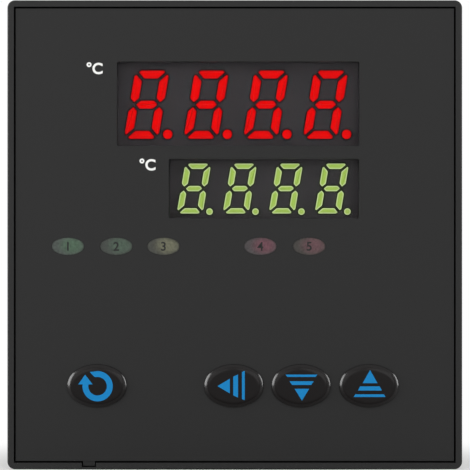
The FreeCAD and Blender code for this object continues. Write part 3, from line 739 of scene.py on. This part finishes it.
def print_text(name, body, height, x, front, z, weight, ink):
    """Prints a short text on the inner unit's front."""
    bm = bmesh.new()
    add_text(bm, body, height, (x, front - PRINT_DEPTH / 2, z), PRINT_DEPTH, weight=weight)
    finish_mesh(bm)
    add_piece(name, bm, "inner_unit", "front_plastic", ink, smooth=0)


class CONTROLLER_OT_lenses(bpy.types.Operator):
    """Gives the oval lenses their tinted resin, with a painted lamp glow and painted rim shade, and their
    numbers
    """
    bl_idname = "controller.lenses"
    bl_label = "Lenses"

    def execute(self, context):
        # tinted polycarbonate with a frosted back: a dim milky tint, with painted light, clearer where its
        # lamp is behind it, and painted shade, dark at the rim, where it meets the face
        # each lens: its own dim tint, then the paler colour of the painted lamp glow
        tints = {"output_1": ("484e4a", "4a5f4e"), "output_2": ("424642", "48574b"),
                 "autotune": ("444540", "686856"), "alarm_1": ("494546", "66444c"),
                 "alarm_2": ("423f3c", "5f4549")}
        for number, name in enumerate(LENSES, 1):
            dark, light = [linear(tint) for tint in tints[name]]
            node = name + "_lens"
            self.tint(node, dark, light)
            self.number(node, number)
        return {"FINISHED"}

    def tint(self, node, dark, light):
        centre = middle(node)
        material, tree, shader = new_material(node + "_tint_with_painted_glow", light, 0.35,
                                              Specular_IOR_Level=0.15)
        frost = add_grain(tree, shader, 0.45, 0.006, 0.35, 0.05)
        # painted light: the tint turns paler round where the lamp sits behind the lens
        glow = self.oval_distance(tree, centre + PAINTED_GLOW_OFFSET, *PAINTED_LAMP_GLOW)
        mix = add_node(tree, "Mix", {"A": (*light, 1), "B": (*dark, 1)}, {"Factor": glow}, data_type="RGBA")
        # the frosted back breaks the tint up into fine grains
        grains = add_node(tree, "MapRange", {"From Min": 0.3, "From Max": 0.7, "To Min": 0.72,
                                             "To Max": 1.28}, {"Value": frost.outputs["Fac"]})
        grainy = add_node(tree, "VectorMath", links={0: mix.outputs["Result"], 1: grains.outputs["Result"]},
                          operation="MULTIPLY")
        # painted shade: the lens darkens to a near-black colour at its rim
        rim = self.oval_distance(tree, centre, *PAINTED_RIM_SHADE)
        shaded = add_node(tree, "Mix", {"B": (*linear("202120"), 1)}, {"Factor": rim, "A": grainy.outputs[0]},
                          data_type="RGBA")
        tree.links.new(shaded.outputs["Result"], shader.inputs["Base Color"])
        dress(node, material)

    def oval_distance(self, tree, centre, half_sizes, start, end):
        """0 inside an oval of this size round a place, rising to 1 outside it."""
        place = add_node(tree, "TexCoord")
        scale = (1 / half_sizes[0], 0, 1 / half_sizes[1])
        shift = [-c * s for c, s in zip(centre, scale)]
        local = add_node(tree, "Mapping", {"Location": shift, "Scale": scale},
                         {"Vector": place.outputs["Object"]})
        distance = add_node(tree, "VectorMath", links={0: local.outputs["Vector"]}, operation="LENGTH")
        ramp = add_node(tree, "MapRange", {"From Min": start, "From Max": end},
                        {"Value": distance.outputs["Value"]}, interpolation_type="SMOOTHSTEP")
        return ramp.outputs["Result"]

    def number(self, node, number):
        # screen-printed ink: flat and near black, like the ink of the other signs
        ink = bpy.data.materials.get("dark_printed_ink")
        ink = ink or moulded("dark_printed_ink", linear("1c1d1c"), 0.6, 0.2, 0.002, specular=0.2)
        centre = middle(node)
        print_text(node + "_number", str(number), sizes().lens_number_height, centre.x,
                   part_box(node)[0].y, centre.z, 0.04 * MM, ink)


# the middle of each unit sign from its window's upper left corner, in millimetres
UNIT_SIGN_PLACES = {"pv": (-3.8, 2.3), "sv": (-3.6, 2.1)}


class CONTROLLER_OT_unit_signs(bpy.types.Operator):
    """Prints a plain unit sign beside each window"""
    bl_idname = "controller.unit_signs"
    bl_label = "Unit signs"

    def execute(self, context):
        # screen-printed white ink: opaque and matt
        ink = moulded("white_printed_ink", colours().sign, 0.6, 0.2, 0.002, specular=0.2)
        for window, (across, down) in UNIT_SIGN_PLACES.items():
            low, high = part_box(window + "_window")
            print_text(window + "_unit_sign", "°C", sizes().sign_height, low.x + across * MM, FACE,
                       high.z - down * MM, 0.09 * MM, ink)
        return {"FINISHED"}


# ---- keys ----
KEY_PLAY = 0.15 * MM
KEY_LIP = 0.65 * MM
KEY_LIP_BEHIND_FACE = 2.05 * MM
KEY_LIP_THICKNESS = 0.8 * MM
KEY_STEM = 3.6 * MM
KEY_EDGE_SLOPE = 44
KEY_PRINT_ROOM = 0.05 * MM
KEY_ROLL_RINGS = 12
KEY_GLOSSY_EDGE = 0.65 * MM
# signs on the keys, in millimetres from the key's centre
ARROW_LEFT = [[(-3.45, 0), (-0.85, 1.55), (-0.85, -1.55)],
              [(-0.13, 1.98), (0.88, 2.45), (0.88, -2.42), (-0.13, -1.95)],
              [(1.71, 2.98), (2.3, 3.22), (2.3, -2.95), (1.71, -2.75)]]
ARROW_DOWN = [[(-3.33, 2.42), (3.42, 2.42), (3.02, 1.93), (-2.9, 1.93)],
              [(-2.46, 1.02), (2.66, 1.02), (2.1, 0.24), (-1.92, 0.24)],
              [(-1.4, -0.57), (1.69, -0.57), (0.15, -3.06)]]
ARROW_UP = [[(-1.4, 0.61), (1.74, 0.61), (0.17, 3.38)],
            [(-1.93, -0.06), (2.2, -0.06), (2.66, -0.94), (-2.38, -0.94)],
            [(-2.95, -1.74), (3.1, -1.74), (3.42, -2.3), (-3.28, -2.3)]]
RING_CENTRE = (0.18, -0.03)
RING_RADII = (1.95, 3.19)
RING_SWEEP = 299.0
RING_END = [(-0.54, 1.99), (-1.5, 3.0)]
RING_HEAD = [(-3.9, 0.36), (-0.86, 0.36), (-2.46, 2.41)]
RING_STEPS = 48
# a face with a corner nearer than this to the ring's centre is part of the ring, not of the head
RING_REACH = 2.0 * MM


class CONTROLLER_OT_keys(bpy.types.Operator):
    """Makes the glossy oval keys with their printed signs"""
    bl_idname = "controller.keys"
    bl_label = "Keys"

    def execute(self, context):
        # ABS from a polished mould: near black, with a soft gloss where fingers have dulled it
        gloss = moulded("polished_abs_key", colours().key, 0.2, 3.0, 0.003, specular=0.13, spread=0.03)
        # the same ABS at the outer edge, which no finger touches: still at its full gloss
        edge = moulded("polished_abs_key_edge", colours().key, 0.2, 3.0, 0.003, specular=0.25, spread=0.03)
        # screen-printed blue ink under a clear coat
        ink = moulded("blue_printed_ink", colours().pictogram, 0.35, 0.2, 0.002, specular=0.05)
        for name in KEYS:
            self.add_cap(name, gloss, edge)
            self.add_sign(name, ink)
        # moulded parts of the push switches: black PBT bodies and white acetal plungers
        dress("key_switch_bodies", moulded("moulded_pbt_switch", linear("1a1a1a"), 0.45, 0.3, 0.006))
        acetal = moulded("moulded_acetal_plunger", linear("dcdcd4"), 0.4, 0.3, 0.004)
        for name in KEYS:
            dress(name + "_switch_plunger", acetal)
        return {"FINISHED"}

    def add_cap(self, name, gloss, edge):
        """Oval cap with a rolled edge, the lip behind the face and the stem to the switch."""
        low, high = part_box(name + "_key")
        centre = (low + high) / 2
        lip_front = FACE + KEY_LIP_BEHIND_FACE
        lip_rear = lip_front + KEY_LIP_THICKNESS
        grow = KEY_PLAY - sizes().key_gap - KEY_LIP
        steepest = math.radians(KEY_EDGE_SLOPE)
        arc_radius = sizes().key_roll / math.sin(steepest)
        shoulder = low.y + KEY_PRINT_ROOM + arc_radius * (1 - math.cos(steepest))
        bm = bmesh.new()
        face = new_oval(bm, centre, (high.x - low.x) / 2 + grow, (high.z - low.z) / 2 + grow, shoulder)
        extrude_back(bm, [face], lip_front - shoulder, keep=True)
        bmesh.ops.recalc_face_normals(bm, faces=bm.faces)
        # the roll is an arc, made ring by ring, and its outer part is the glossy edge
        before = (0.0, 0.0)
        for ring in range(1, KEY_ROLL_RINGS + 1):
            slope = steepest * (1 - ring / KEY_ROLL_RINGS)
            now = (arc_radius * (math.sin(steepest) - math.sin(slope)),
                   arc_radius * (math.cos(slope) - math.cos(steepest)))
            made = bmesh.ops.inset_region(bm, faces=[face], thickness=now[0] - before[0],
                                          depth=now[1] - before[1], use_boundary=True, use_even_offset=True)
            for part in made["faces"]:
                part.material_index = int(now[0] < KEY_GLOSSY_EDGE)
            before = now
        new_box(bm, (low.x, lip_front, low.z), (high.x, lip_rear, high.z), 0.15 * MM)
        stem = KEY_STEM / 2
        new_box(bm, (centre.x - stem, lip_rear, centre.z - stem),
                (centre.x + stem, high.y, centre.z + stem), 0.15 * MM)
        add_piece(name + "_key_cap", bm, name + "_key", "key_plastic", gloss, edge,
                  replaces=(name + "_key",), smooth=40)

    def add_sign(self, name, ink):
        """Printed sign on the key's face: a ring arrow or a banded arrow."""
        low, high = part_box(name + "_key")
        centre = (low + high) / 2
        depth = 0.06 * MM
        bm = bmesh.new()
        bands = {"shift": ARROW_LEFT, "down": ARROW_DOWN, "up": ARROW_UP, "set": [RING_HEAD]}[name]
        for band in bands:
            new_plate(bm, [(centre.x + x * MM, centre.z + z * MM) for x, z in band], low.y, depth)
        if name == "set":
            self.add_ring(bm, low.y, centre, depth)
        finish_mesh(bm)
        add_piece(name + "_key_sign", bm, name + "_key", "key_plastic", ink, smooth=0)

    def add_ring(self, bm, front, centre, depth):
        """Ring of the set key's sign, spun from its first edge, its last edge slanted."""
        middle_point = Vector((centre.x + RING_CENTRE[0] * MM, front, centre.z + RING_CENTRE[1] * MM))
        # the ring starts at the foot of the arrow's head
        rise = RING_HEAD[0][1] - RING_CENTRE[1]
        starts = [(-math.sqrt(radius ** 2 - rise ** 2), rise) for radius in RING_RADII]
        ends = [bm.verts.new(middle_point + Vector((x, 0, z)) * MM) for x, z in starts]
        edge = bm.edges.new(ends)
        made = bmesh.ops.spin(bm, geom=[edge, *ends], cent=middle_point, axis=(0, -1, 0), dvec=(0, 0, 0),
                              angle=math.radians(RING_SWEEP), steps=RING_STEPS, use_merge=False,
                              use_duplicate=False)
        last = [v for v in made["geom_last"] if isinstance(v, bmesh.types.BMVert)]
        last.sort(key=lambda v: (v.co - middle_point).length)
        for vert, (x, z) in zip(last, RING_END):
            vert.co.x, vert.co.z = centre.x + x * MM, centre.z + z * MM
        flat = [f for f in bm.faces if all(abs(v.co.y - front) < 1e-7 for v in f.verts)
                and any((v.co - middle_point).length < RING_REACH for v in f.verts)]
        extrude_back(bm, flat, depth)


# ---- inside ----
BOARD_MATERIALS = {
    # transfer-moulded epoxy: black and dull, with a fine speckle of its filler
    "moulded_epoxy_chip": (("microcontroller", "display_drivers", "isolators", "signal_converters"),
                           "1c1c1e", 0.6, 0.3, 0.006),
    # moulded nylon headers: black, a little shiny
    "moulded_nylon_header": (("board_headers",), "1b1b1b", 0.45, 0.4, 0.008),
    # moulded ABS brace: plain mid grey
    "moulded_abs_brace": (("board_braces",), "4a4a4a", 0.5, 0.35, 0.01),
    # pressed and sintered ferrite: dark grey, grainy
    "sintered_ferrite": (("transformer_core",), "2b2c2e", 0.5, 0.25, 0.02),
    # moulded phenolic bobbin: brown-black and smooth
    "moulded_phenolic_bobbin": (("transformer_bobbin",), "241c16", 0.4, 0.4, 0.006),
    # polyester tape over the copper: pale yellow, slightly glossy
    "wrapped_polyester_tape": (("transformer_winding",), "c8a63c", 0.3, 1.2, 0.03),
    # cast milky epoxy lamps
    "cast_milky_epoxy": (("indicator_lamps",), "dcdcd0", 0.3, 0.5, 0.005),
}
RELAY_PITCH = 17.5 * MM
RELAYS = 3
# each capacitor: place behind the board's front edge, height, radius and length, in millimetres
CAPACITORS = ((19.0, -22.0, 8.0, 25.0), (9.0, 22.0, 5.0, 16.0), (9.0, 33.0, 4.0, 12.0))
# shares of the can's length and radius, from the board up to the rim round its bare end
CAN_PROFILE = [(0.0, 0.0), (0.0, 0.94), (0.03, 1.0), (0.12, 1.0), (0.15, 0.92), (0.18, 0.92), (0.21, 1.0),
               (0.95, 1.0), (0.985, 0.97), (1.0, 0.9), (0.985, 0.86), (0.985, 0.0)]
# where a can's end is bare and where its leads are, as shares of its length and radius, and half
# the angle of its stripe in degrees
BARE_END = (0.98, 0.88)
CAN_LEAD_SHARE = 0.47
STRIPE_HALF_ANGLE = 24
FILM_CAPACITORS = ((30.0, 24.0), (30.0, 32.0))
FILM_CAPACITOR_SIZE = (9.0 * MM, 13.0 * MM, 5.0 * MM)
PIN_PITCH = 2.54 * MM
HEADER_PINS = 10
# half a chip lead's width, as a share of the pitch; how far its shoulder and its foot reach out
# from the chip's side; and the foot's height
LEAD_HALF_WIDTH = 0.22
LEAD_SHOULDER = (-0.2 * MM, 0.35 * MM)
LEAD_FOOT = (0.1 * MM, 1.0 * MM)
LEAD_FOOT_HEIGHT = 0.16 * MM
# chips on the input board: place, leads on a side and their pitch, the chip's width and the height
# of its leads, in millimetres
SIDE_CHIPS = (*((20, z, 3, 2.0, 7.4, 1.5) for z in (-20, -8, 4)),
              *((40, z, 4, 0.9, 10, 1.0) for z in (-14, 10)))
# leads that come through the power board, in millimetres: a relay's from its middle, and the
# transformer's from the board's front edge and middle
RELAY_LEADS = ((-7.5, 0), (-5.5, 6), (-5.5, -6), (7, 6), (7, -6))
WINDING_LEADS = [(27 + y, 22 + z) for y in (-8.5, 8.5) for z in (-6, -2, 2, 6)]


def board_face(board, inner):
    """Plane of a side board's inner or outer face, and the direction it looks to."""
    low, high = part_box(board)
    towards_middle = 1 if board == "power_board" else -1
    side = towards_middle if inner else -towards_middle
    return (high.x if side > 0 else low.x), side


def side_place(board, y, z, inner=True):
    """Matrix that stands a piece made on a z = 0 plane on a side board's face."""
    x, side = board_face(board, inner)
    turn = Vector((0, 0, 1)).rotation_difference(Vector((side, 0, 0))).to_matrix().to_4x4()
    return Matrix.Translation((x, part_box(board)[0].y + y, z)) @ turn


def rear_place(x, z):
    """Matrix that stands a piece made on a z = 0 plane on the display board's back."""
    turn = Vector((0, 0, 1)).rotation_difference(Vector((0, 1, 0))).to_matrix().to_4x4()
    return Matrix.Translation((x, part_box("display_board")[1].y, z)) @ turn


def tinned():
    """Solder and tinned leads: bright tin, slightly uneven."""
    found = bpy.data.materials.get("tinned_solder")
    return found or metal("tinned_solder", "c6c8c8", 0.28, 0.7, 0.02)


class CONTROLLER_OT_boards(bpy.types.Operator):
    """Gives the boards and the moulded parts on them their finishes"""
    bl_idname = "controller.boards"
    bl_label = "Boards"

    def execute(self, context):
        self.resist()
        for name, (nodes, colour, roughness, grain, depth) in BOARD_MATERIALS.items():
            material = moulded(name, linear(colour), roughness, grain, depth)
            for node in nodes:
                dress(node, material)
        self.add_fingers()
        return {"FINISHED"}

    def resist(self):
        # glass-epoxy board under solder resist: glossy green, with copper runs showing paler
        material, tree, shader = new_material("solder_resist_board", colours().board, 0.3,
                                              Specular_IOR_Level=0.4)
        place = add_node(tree, "TexCoord")
        cells = add_node(tree, "TexVoronoi", {"Scale": 1 / (3.0 * MM)}, {"Vector": place.outputs["Object"]},
                         distance="MANHATTAN", feature="F1")
        runs = add_node(tree, "MapRange", {"From Min": 0.42, "From Max": 0.46},
                        {"Value": cells.outputs["Distance"]})
        dark = colours().board
        light = [min(1, c * 1.4 + 0.004) for c in dark]
        mix = add_node(tree, "Mix", {"A": (*dark, 1), "B": (*light, 1)},
                       {"Factor": runs.outputs["Result"]}, data_type="RGBA")
        tree.links.new(mix.outputs["Result"], shader.inputs["Base Color"])
        bump = add_node(tree, "Bump", {"Distance": 0.03 * MM}, {"Height": runs.outputs["Result"]})
        tree.links.new(bump.outputs["Normal"], shader.inputs["Normal"])
        for node in ("display_board", "power_board", "input_board"):
            dress(node, material)

    def add_fingers(self):
        """Plated contact fingers on both faces of the boards' rear tongues."""
        # gold flash over copper: warm yellow metal, smooth
        gold = metal("gold_plated_copper", "d9b25a", 0.25, 0.6, 0.002)
        thickness, half_width, reach, edge = 0.04 * MM, 2.1 * MM, 5.6 * MM, 0.6 * MM
        bm = bmesh.new()
        for board in ("power_board", "input_board"):
            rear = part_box(board)[1].y - edge
            for inner in (False, True):
                x, side = board_face(board, inner)
                for z in terminal_heights():
                    low_x, high_x = sorted((x, x + side * thickness))
                    new_box(bm, (low_x, rear - reach, z - half_width), (high_x, rear, z + half_width))
        add_piece("edge_fingers", bm, "inner_unit", "contact_brass", gold, smooth=0)


class CONTROLLER_OT_power_parts(bpy.types.Operator):
    """Makes the relay covers, the capacitors and the transformer's tape"""
    bl_idname = "controller.power_parts"
    bl_label = "Power parts"

    def execute(self, context):
        # moulded PBT relay covers: blue with a soft shine
        cover = moulded("moulded_pbt_relay", linear("24468c"), 0.35, 0.4, 0.006)
        self.add_relays(cover)
        # heat-shrunk PVC sleeve, glossy navy, with a paler printed stripe, on a can whose bare
        # end is drawn aluminium
        sleeve = moulded("shrunk_pvc_sleeve", linear("1b2036"), 0.3, 1.5, 0.01)
        stripe = moulded("pale_printed_sleeve", linear("8f97a6"), 0.35, 1.5, 0.01)
        can = metal("drawn_aluminium_can", "c9cacb", 0.35, 0.5, 0.004)
        self.add_capacitors(sleeve, stripe, can)
        # yellow polyester tape round the core: thin and slightly glossy
        tape = moulded("core_polyester_tape", linear("d0a92e"), 0.3, 1.0, 0.02)
        self.add_core_tape(tape)
        return {"FINISHED"}

    def add_relays(self, cover):
        low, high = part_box("relays")
        width = high.z - low.z - (RELAYS - 1) * RELAY_PITCH
        middle_z = (low.z + high.z) / 2
        near, far = middle_z - width / 2, middle_z + width / 2
        relay = bmesh.new()
        made = new_box(relay, (low.x, low.y, near), (high.x, high.y, far))
        top = max(relay.faces, key=lambda face: face.calc_center_median().x)
        # the top has a shallow panel inside a raised border
        border, sunk = 1.3 * MM, 0.3 * MM
        bmesh.ops.inset_region(relay, faces=[top], thickness=border, use_boundary=True)
        bmesh.ops.inset_region(relay, faces=[top], thickness=sunk, depth=-sunk, use_boundary=True)
        rolled(relay, made, 0.7 * MM, 3)
        # a nib near one end of the panel, where the cover's vent is opened
        new_disc(relay, (high.x - sunk, low.y + 3.4 * MM, middle_z - width * 0.28), 0.9 * MM, sunk,
                 (1, 0, 0), 0.8)
        # a seam near the board, where the cover closes on its base
        bottom, top, out = low.x + 1.6 * MM, low.x + 2.0 * MM, 0.08 * MM
        new_box(relay, (bottom, low.y - out, near - out), (top, high.y + out, far + out))
        bm = bmesh.new()
        rows = [(i - (RELAYS - 1) / 2) * RELAY_PITCH for i in range(RELAYS)]
        copies_of(bm, relay, [Matrix.Translation((0, 0, row)) for row in rows])
        add_piece("relay_covers", bm, "inner_unit", "relay_plastic", cover, replaces=("relays",))

    def add_capacitors(self, sleeve, stripe, can):
        board_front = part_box("power_board")[0].y
        base = board_face("power_board", True)[0]
        bm = bmesh.new()
        for y, z, radius, length in CAPACITORS:
            one = spun([(share * length * MM, r * radius * MM) for share, r in CAN_PROFILE], (1, 0, 0), 40)
            for face in one.faces:
                place = face.calc_center_median()
                around = math.degrees(math.atan2(place.z, place.y))
                bare = (place.x > BARE_END[0] * length * MM
                        and math.hypot(place.y, place.z) < BARE_END[1] * radius * MM)
                face.material_index = 2 if bare else int(abs(around) < STRIPE_HALF_ANGLE and place.x > 0)
            # the bare end is scored, so that it opens along the score if the can bursts
            for y_half, z_half in ((radius * 0.5, 0.25), (0.25, radius * 0.5)):
                new_box(one, (0.985 * length * MM, -y_half * MM, -z_half * MM),
                        (0.992 * length * MM, y_half * MM, z_half * MM), material=2)
            copies_of(bm, one, [Matrix.Translation((base, board_front + y * MM, z * MM))])
        add_piece("capacitor_cans", bm, "inner_unit", "capacitor_can", sleeve, stripe, can,
                  replaces=("electrolytic_capacitors",))

    def add_core_tape(self, tape):
        low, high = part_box("transformer_core")
        middle_y = (low.y + high.y) / 2
        half_width, thickness = 2.6 * MM, 0.15 * MM
        bm = bmesh.new()
        new_box(bm, (low.x, middle_y - half_width, low.z), (high.x, middle_y + half_width, high.z))
        ends = [f for f in bm.faces if abs(f.normal.y) > 0.9]
        bmesh.ops.delete(bm, geom=ends, context="FACES_ONLY")
        bmesh.ops.solidify(bm, geom=bm.faces[:], thickness=-thickness)
        bmesh.ops.recalc_face_normals(bm, faces=bm.faces)
        add_piece("core_tape", bm, "inner_unit", "wound_copper", tape, smooth=0)


class CONTROLLER_OT_small_parts(bpy.types.Operator):
    """Makes the film capacitors, the small chips, the leads and the solder joints"""
    bl_idname = "controller.small_parts"
    bl_label = "Small parts"

    def execute(self, context):
        self.add_film_capacitors()
        self.add_chip_leads()
        self.add_solder_joints()
        self.add_header_pins()
        self.add_passives()
        return {"FINISHED"}

    def add_film_capacitors(self):
        # dipped epoxy film capacitors: red-brown, glossy and rounded
        resin = moulded("dipped_epoxy_film_capacitor", linear("9a2c1e"), 0.25, 1.0, 0.02)
        high_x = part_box("film_capacitors")[1].x
        height, length, width = FILM_CAPACITOR_SIZE
        bm = bmesh.new()
        for y, z in FILM_CAPACITORS:
            middle_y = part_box("input_board")[0].y + y * MM
            new_box(bm, (high_x - height, middle_y - length / 2, z * MM - width / 2),
                    (high_x, middle_y + length / 2, z * MM + width / 2), 1.4 * MM, 4)
        add_piece("film_capacitors_dipped", bm, "inner_unit", "film_capacitor_resin", resin,
                  replaces=("film_capacitors",))

    def lead_row(self, bm, matrix, count, pitch, width, height):
        """Bent leads along both long sides of a chip: each a shoulder and a foot."""
        half = pitch * LEAD_HALF_WIDTH
        for side in (-1, 1):
            for i in range(count):
                x = (i - (count - 1) / 2) * pitch
                for reach, top in ((LEAD_SHOULDER, height), (LEAD_FOOT, LEAD_FOOT_HEIGHT)):
                    near, far = [side * (width / 2 + out) for out in reach]
                    part = bmesh.new()
                    new_box(part, (x - half, min(near, far), 0), (x + half, max(near, far), top))
                    copies_of(bm, part, [matrix])

    def add_chip_leads(self):
        bm = bmesh.new()
        quarter = Matrix.Rotation(math.pi / 2, 4, "Z")
        low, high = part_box("microcontroller")
        centre = (low + high) / 2
        for turn in (Matrix.Identity(4), quarter):
            self.lead_row(bm, rear_place(centre.x, centre.z) @ turn, 11, 0.8 * MM, high.x - low.x, 0.9 * MM)
        low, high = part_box("display_drivers")
        for x in (low.x + 5 * MM, high.x - 5 * MM):
            self.lead_row(bm, rear_place(x, (low.z + high.z) / 2), 7, 1.27 * MM, high.z - low.z, 1.0 * MM)
        for y, z, count, pitch, width, height in SIDE_CHIPS:
            self.lead_row(bm, side_place("input_board", y * MM, z * MM) @ quarter, count, pitch * MM,
                          width * MM, height * MM)
        add_piece("chip_leads", bm, "inner_unit", "contact_brass", tinned(), smooth=0)

    def joint_places(self):
        """Places on the boards' outer faces where leads come through: board, y and z in millimetres."""
        header = [("power_board", 2.5, (i - (HEADER_PINS - 1) / 2) * 2.54) for i in range(HEADER_PINS)]
        header += [("input_board", *place) for _, *place in header]
        low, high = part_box("relays")
        middle_y = (low.y + high.y) / 2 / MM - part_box("power_board")[0].y / MM
        middle_z = (low.z + high.z) / 2 / MM
        relays = [("power_board", middle_y + y, middle_z + (row - 1) * RELAY_PITCH / MM + z)
                  for row in range(RELAYS) for y, z in RELAY_LEADS]
        cans = [("power_board", y, z + side * radius * CAN_LEAD_SHARE) for y, z, radius, _ in CAPACITORS
                for side in (-1, 1)]
        windings = [("power_board", y, z) for y, z in WINDING_LEADS]
        films = [("input_board", y + side * 5, z) for y, z in FILM_CAPACITORS for side in (-1, 1)]
        return header + relays + cans + windings + films

    def add_solder_joints(self):
        joint_radius, joint_height, wire_radius, wire_height = 0.95 * MM, 0.7 * MM, 0.3 * MM, 1.5 * MM
        bm = bmesh.new()
        for board, y, z in self.joint_places():
            matrix = side_place(board, y * MM, z * MM, inner=False)
            outward = matrix.to_3x3() @ Vector((0, 0, 1))
            new_disc(bm, matrix.translation, joint_radius, joint_height, outward, 0.4)
            new_disc(bm, matrix.translation, wire_radius, wire_height, outward, 0.8, sides=8)
        add_piece("solder_joints", bm, "inner_unit", "contact_brass", tinned())

    def add_header_pins(self):
        """Pins from the headers' rear into the side boards, bent at a right angle."""
        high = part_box("board_headers")[1]
        half, reach, above_board = 0.32 * MM, 2.0 * MM, 1.25 * MM
        bm = bmesh.new()
        for board in ("power_board", "input_board"):
            face, side = board_face(board, True)
            x = face + side * above_board
            for i in range(HEADER_PINS):
                z = (i - (HEADER_PINS - 1) / 2) * PIN_PITCH
                new_box(bm, (x - half, high.y - half, z - half), (x + half, high.y + reach, z + half))
                near, far = sorted((face, x + side * half))
                new_box(bm, (near, high.y + reach - 2 * half, z - half), (far, high.y + reach, z + half))
        add_piece("header_pins", bm, "inner_unit", "contact_brass", tinned(), smooth=0)

    def add_passives(self):
        """Rows of chip resistors and capacitors: a body between two tinned ends."""
        # fired ceramic: resistors black and glossy on top, capacitors tan and matt
        black = moulded("fired_ceramic_resistor", linear("161617"), 0.3, 0.2, 0.002)
        tan = moulded("fired_ceramic_capacitor", linear("9a7f5c"), 0.5, 0.2, 0.003)
        bm = bmesh.new()
        half, inner, outer, thicker = 0.62 * MM, 0.6 * MM, 1.0 * MM, 0.02 * MM
        for matrix_for, start, step, count, kind in PASSIVE_ROWS:
            for i in range(count):
                place = (start[0] + i * step[0], start[1] + i * step[1])
                part = bmesh.new()
                high = (0.5, 0.9)[kind] * MM
                new_box(part, (-half, -half, 0), (half, half, high), material=kind)
                for side in (-1, 1):
                    near, far = sorted((side * inner, side * outer))
                    new_box(part, (near, -half - thicker, 0), (far, half + thicker, high + thicker),
                            material=2)
                copies_of(bm, part, [matrix_for(*place)])
        add_piece("chip_resistors_and_capacitors", bm, "inner_unit", "chip_epoxy", black, tan, tinned(),
                  smooth=0)


def on_board(board, inner):
    """Places pieces on one face of a side board, from millimetres."""
    return lambda y, z: side_place(board, y * MM, z * MM, inner)


def on_rear(x, z):
    """Places a piece on the display board's back, from millimetres."""
    return rear_place(x * MM, z * MM)


# rows of small parts: the face, the first place, the step, the count, and 0 for resistors or
# 1 for capacitors; places on a side board are its y from the front edge and its z
PASSIVE_ROWS = (
    (on_rear, (-12.0, 22.0), (3.2, 0), 8, 0),
    (on_rear, (-12.0, 25.0), (3.2, 0), 8, 1),
    (on_rear, (-20.0, -3.0), (3.2, 0), 4, 0),
    (on_rear, (-14.0, -22.0), (3.2, 0), 10, 0),
    (on_board("input_board", True), (10.0, -30.0), (3.0, 0), 12, 0),
    (on_board("input_board", True), (10.0, -33.0), (3.0, 0), 12, 1),
    (on_board("input_board", True), (31.0, -16.0), (0, 3.0), 8, 0),
    (on_board("input_board", True), (50.0, -16.0), (0, 3.0), 9, 0),
    (on_board("input_board", True), (54.0, -16.0), (0, 3.0), 9, 1),
    (on_board("input_board", False), (12.0, -12.0), (0, 3.0), 9, 1),
    (on_board("input_board", False), (45.0, -24.0), (3.0, 0), 6, 0),
    (on_board("input_board", False), (45.0, -20.0), (3.0, 0), 6, 0),
    (on_board("power_board", False), (30.0, -4.0), (3.0, 0), 6, 0),
    (on_board("power_board", False), (30.0, 1.0), (3.0, 0), 5, 1),
)


# ---- panel and run ----
STEPS = (CONTROLLER_OT_stage, CONTROLLER_OT_case, CONTROLLER_OT_terminal_screws,
         CONTROLLER_OT_terminal_numbers, CONTROLLER_OT_front, CONTROLLER_OT_displays, CONTROLLER_OT_lenses,
         CONTROLLER_OT_unit_signs, CONTROLLER_OT_keys, CONTROLLER_OT_boards, CONTROLLER_OT_power_parts,
         CONTROLLER_OT_small_parts)


class CONTROLLER_PT_panel(bpy.types.Panel):
    """Lists the controller's pieces, sizes and colours"""
    bl_idname = "CONTROLLER_PT_panel"
    bl_label = "Temperature controller"
    bl_space_type = "VIEW_3D"
    bl_region_type = "UI"
    bl_category = "Controller"

    def draw(self, context):
        for settings in (sizes(), colours()):
            for name in settings.__annotations__:
                self.layout.prop(settings, name)
        for step in STEPS:
            self.layout.operator(step.bl_idname)


CLASSES = (ControllerSizes, ControllerColours, *STEPS, CONTROLLER_PT_panel)


def register():
    for cls in CLASSES:
        bpy.utils.register_class(cls)
    bpy.types.Scene.controller_sizes = PointerProperty(type=ControllerSizes)
    bpy.types.Scene.controller_colours = PointerProperty(type=ControllerColours)


def unregister():
    del bpy.types.Scene.controller_colours
    del bpy.types.Scene.controller_sizes
    for cls in reversed(CLASSES):
        bpy.utils.unregister_class(cls)


def main():
    """Makes everything."""
    register()
    bpy.context.scene.view_settings.view_transform = "Standard"
    for step in STEPS:
        group, name = step.bl_idname.split(".")
        getattr(getattr(bpy.ops, group), name)()


if __name__ == "__main__":
    main()
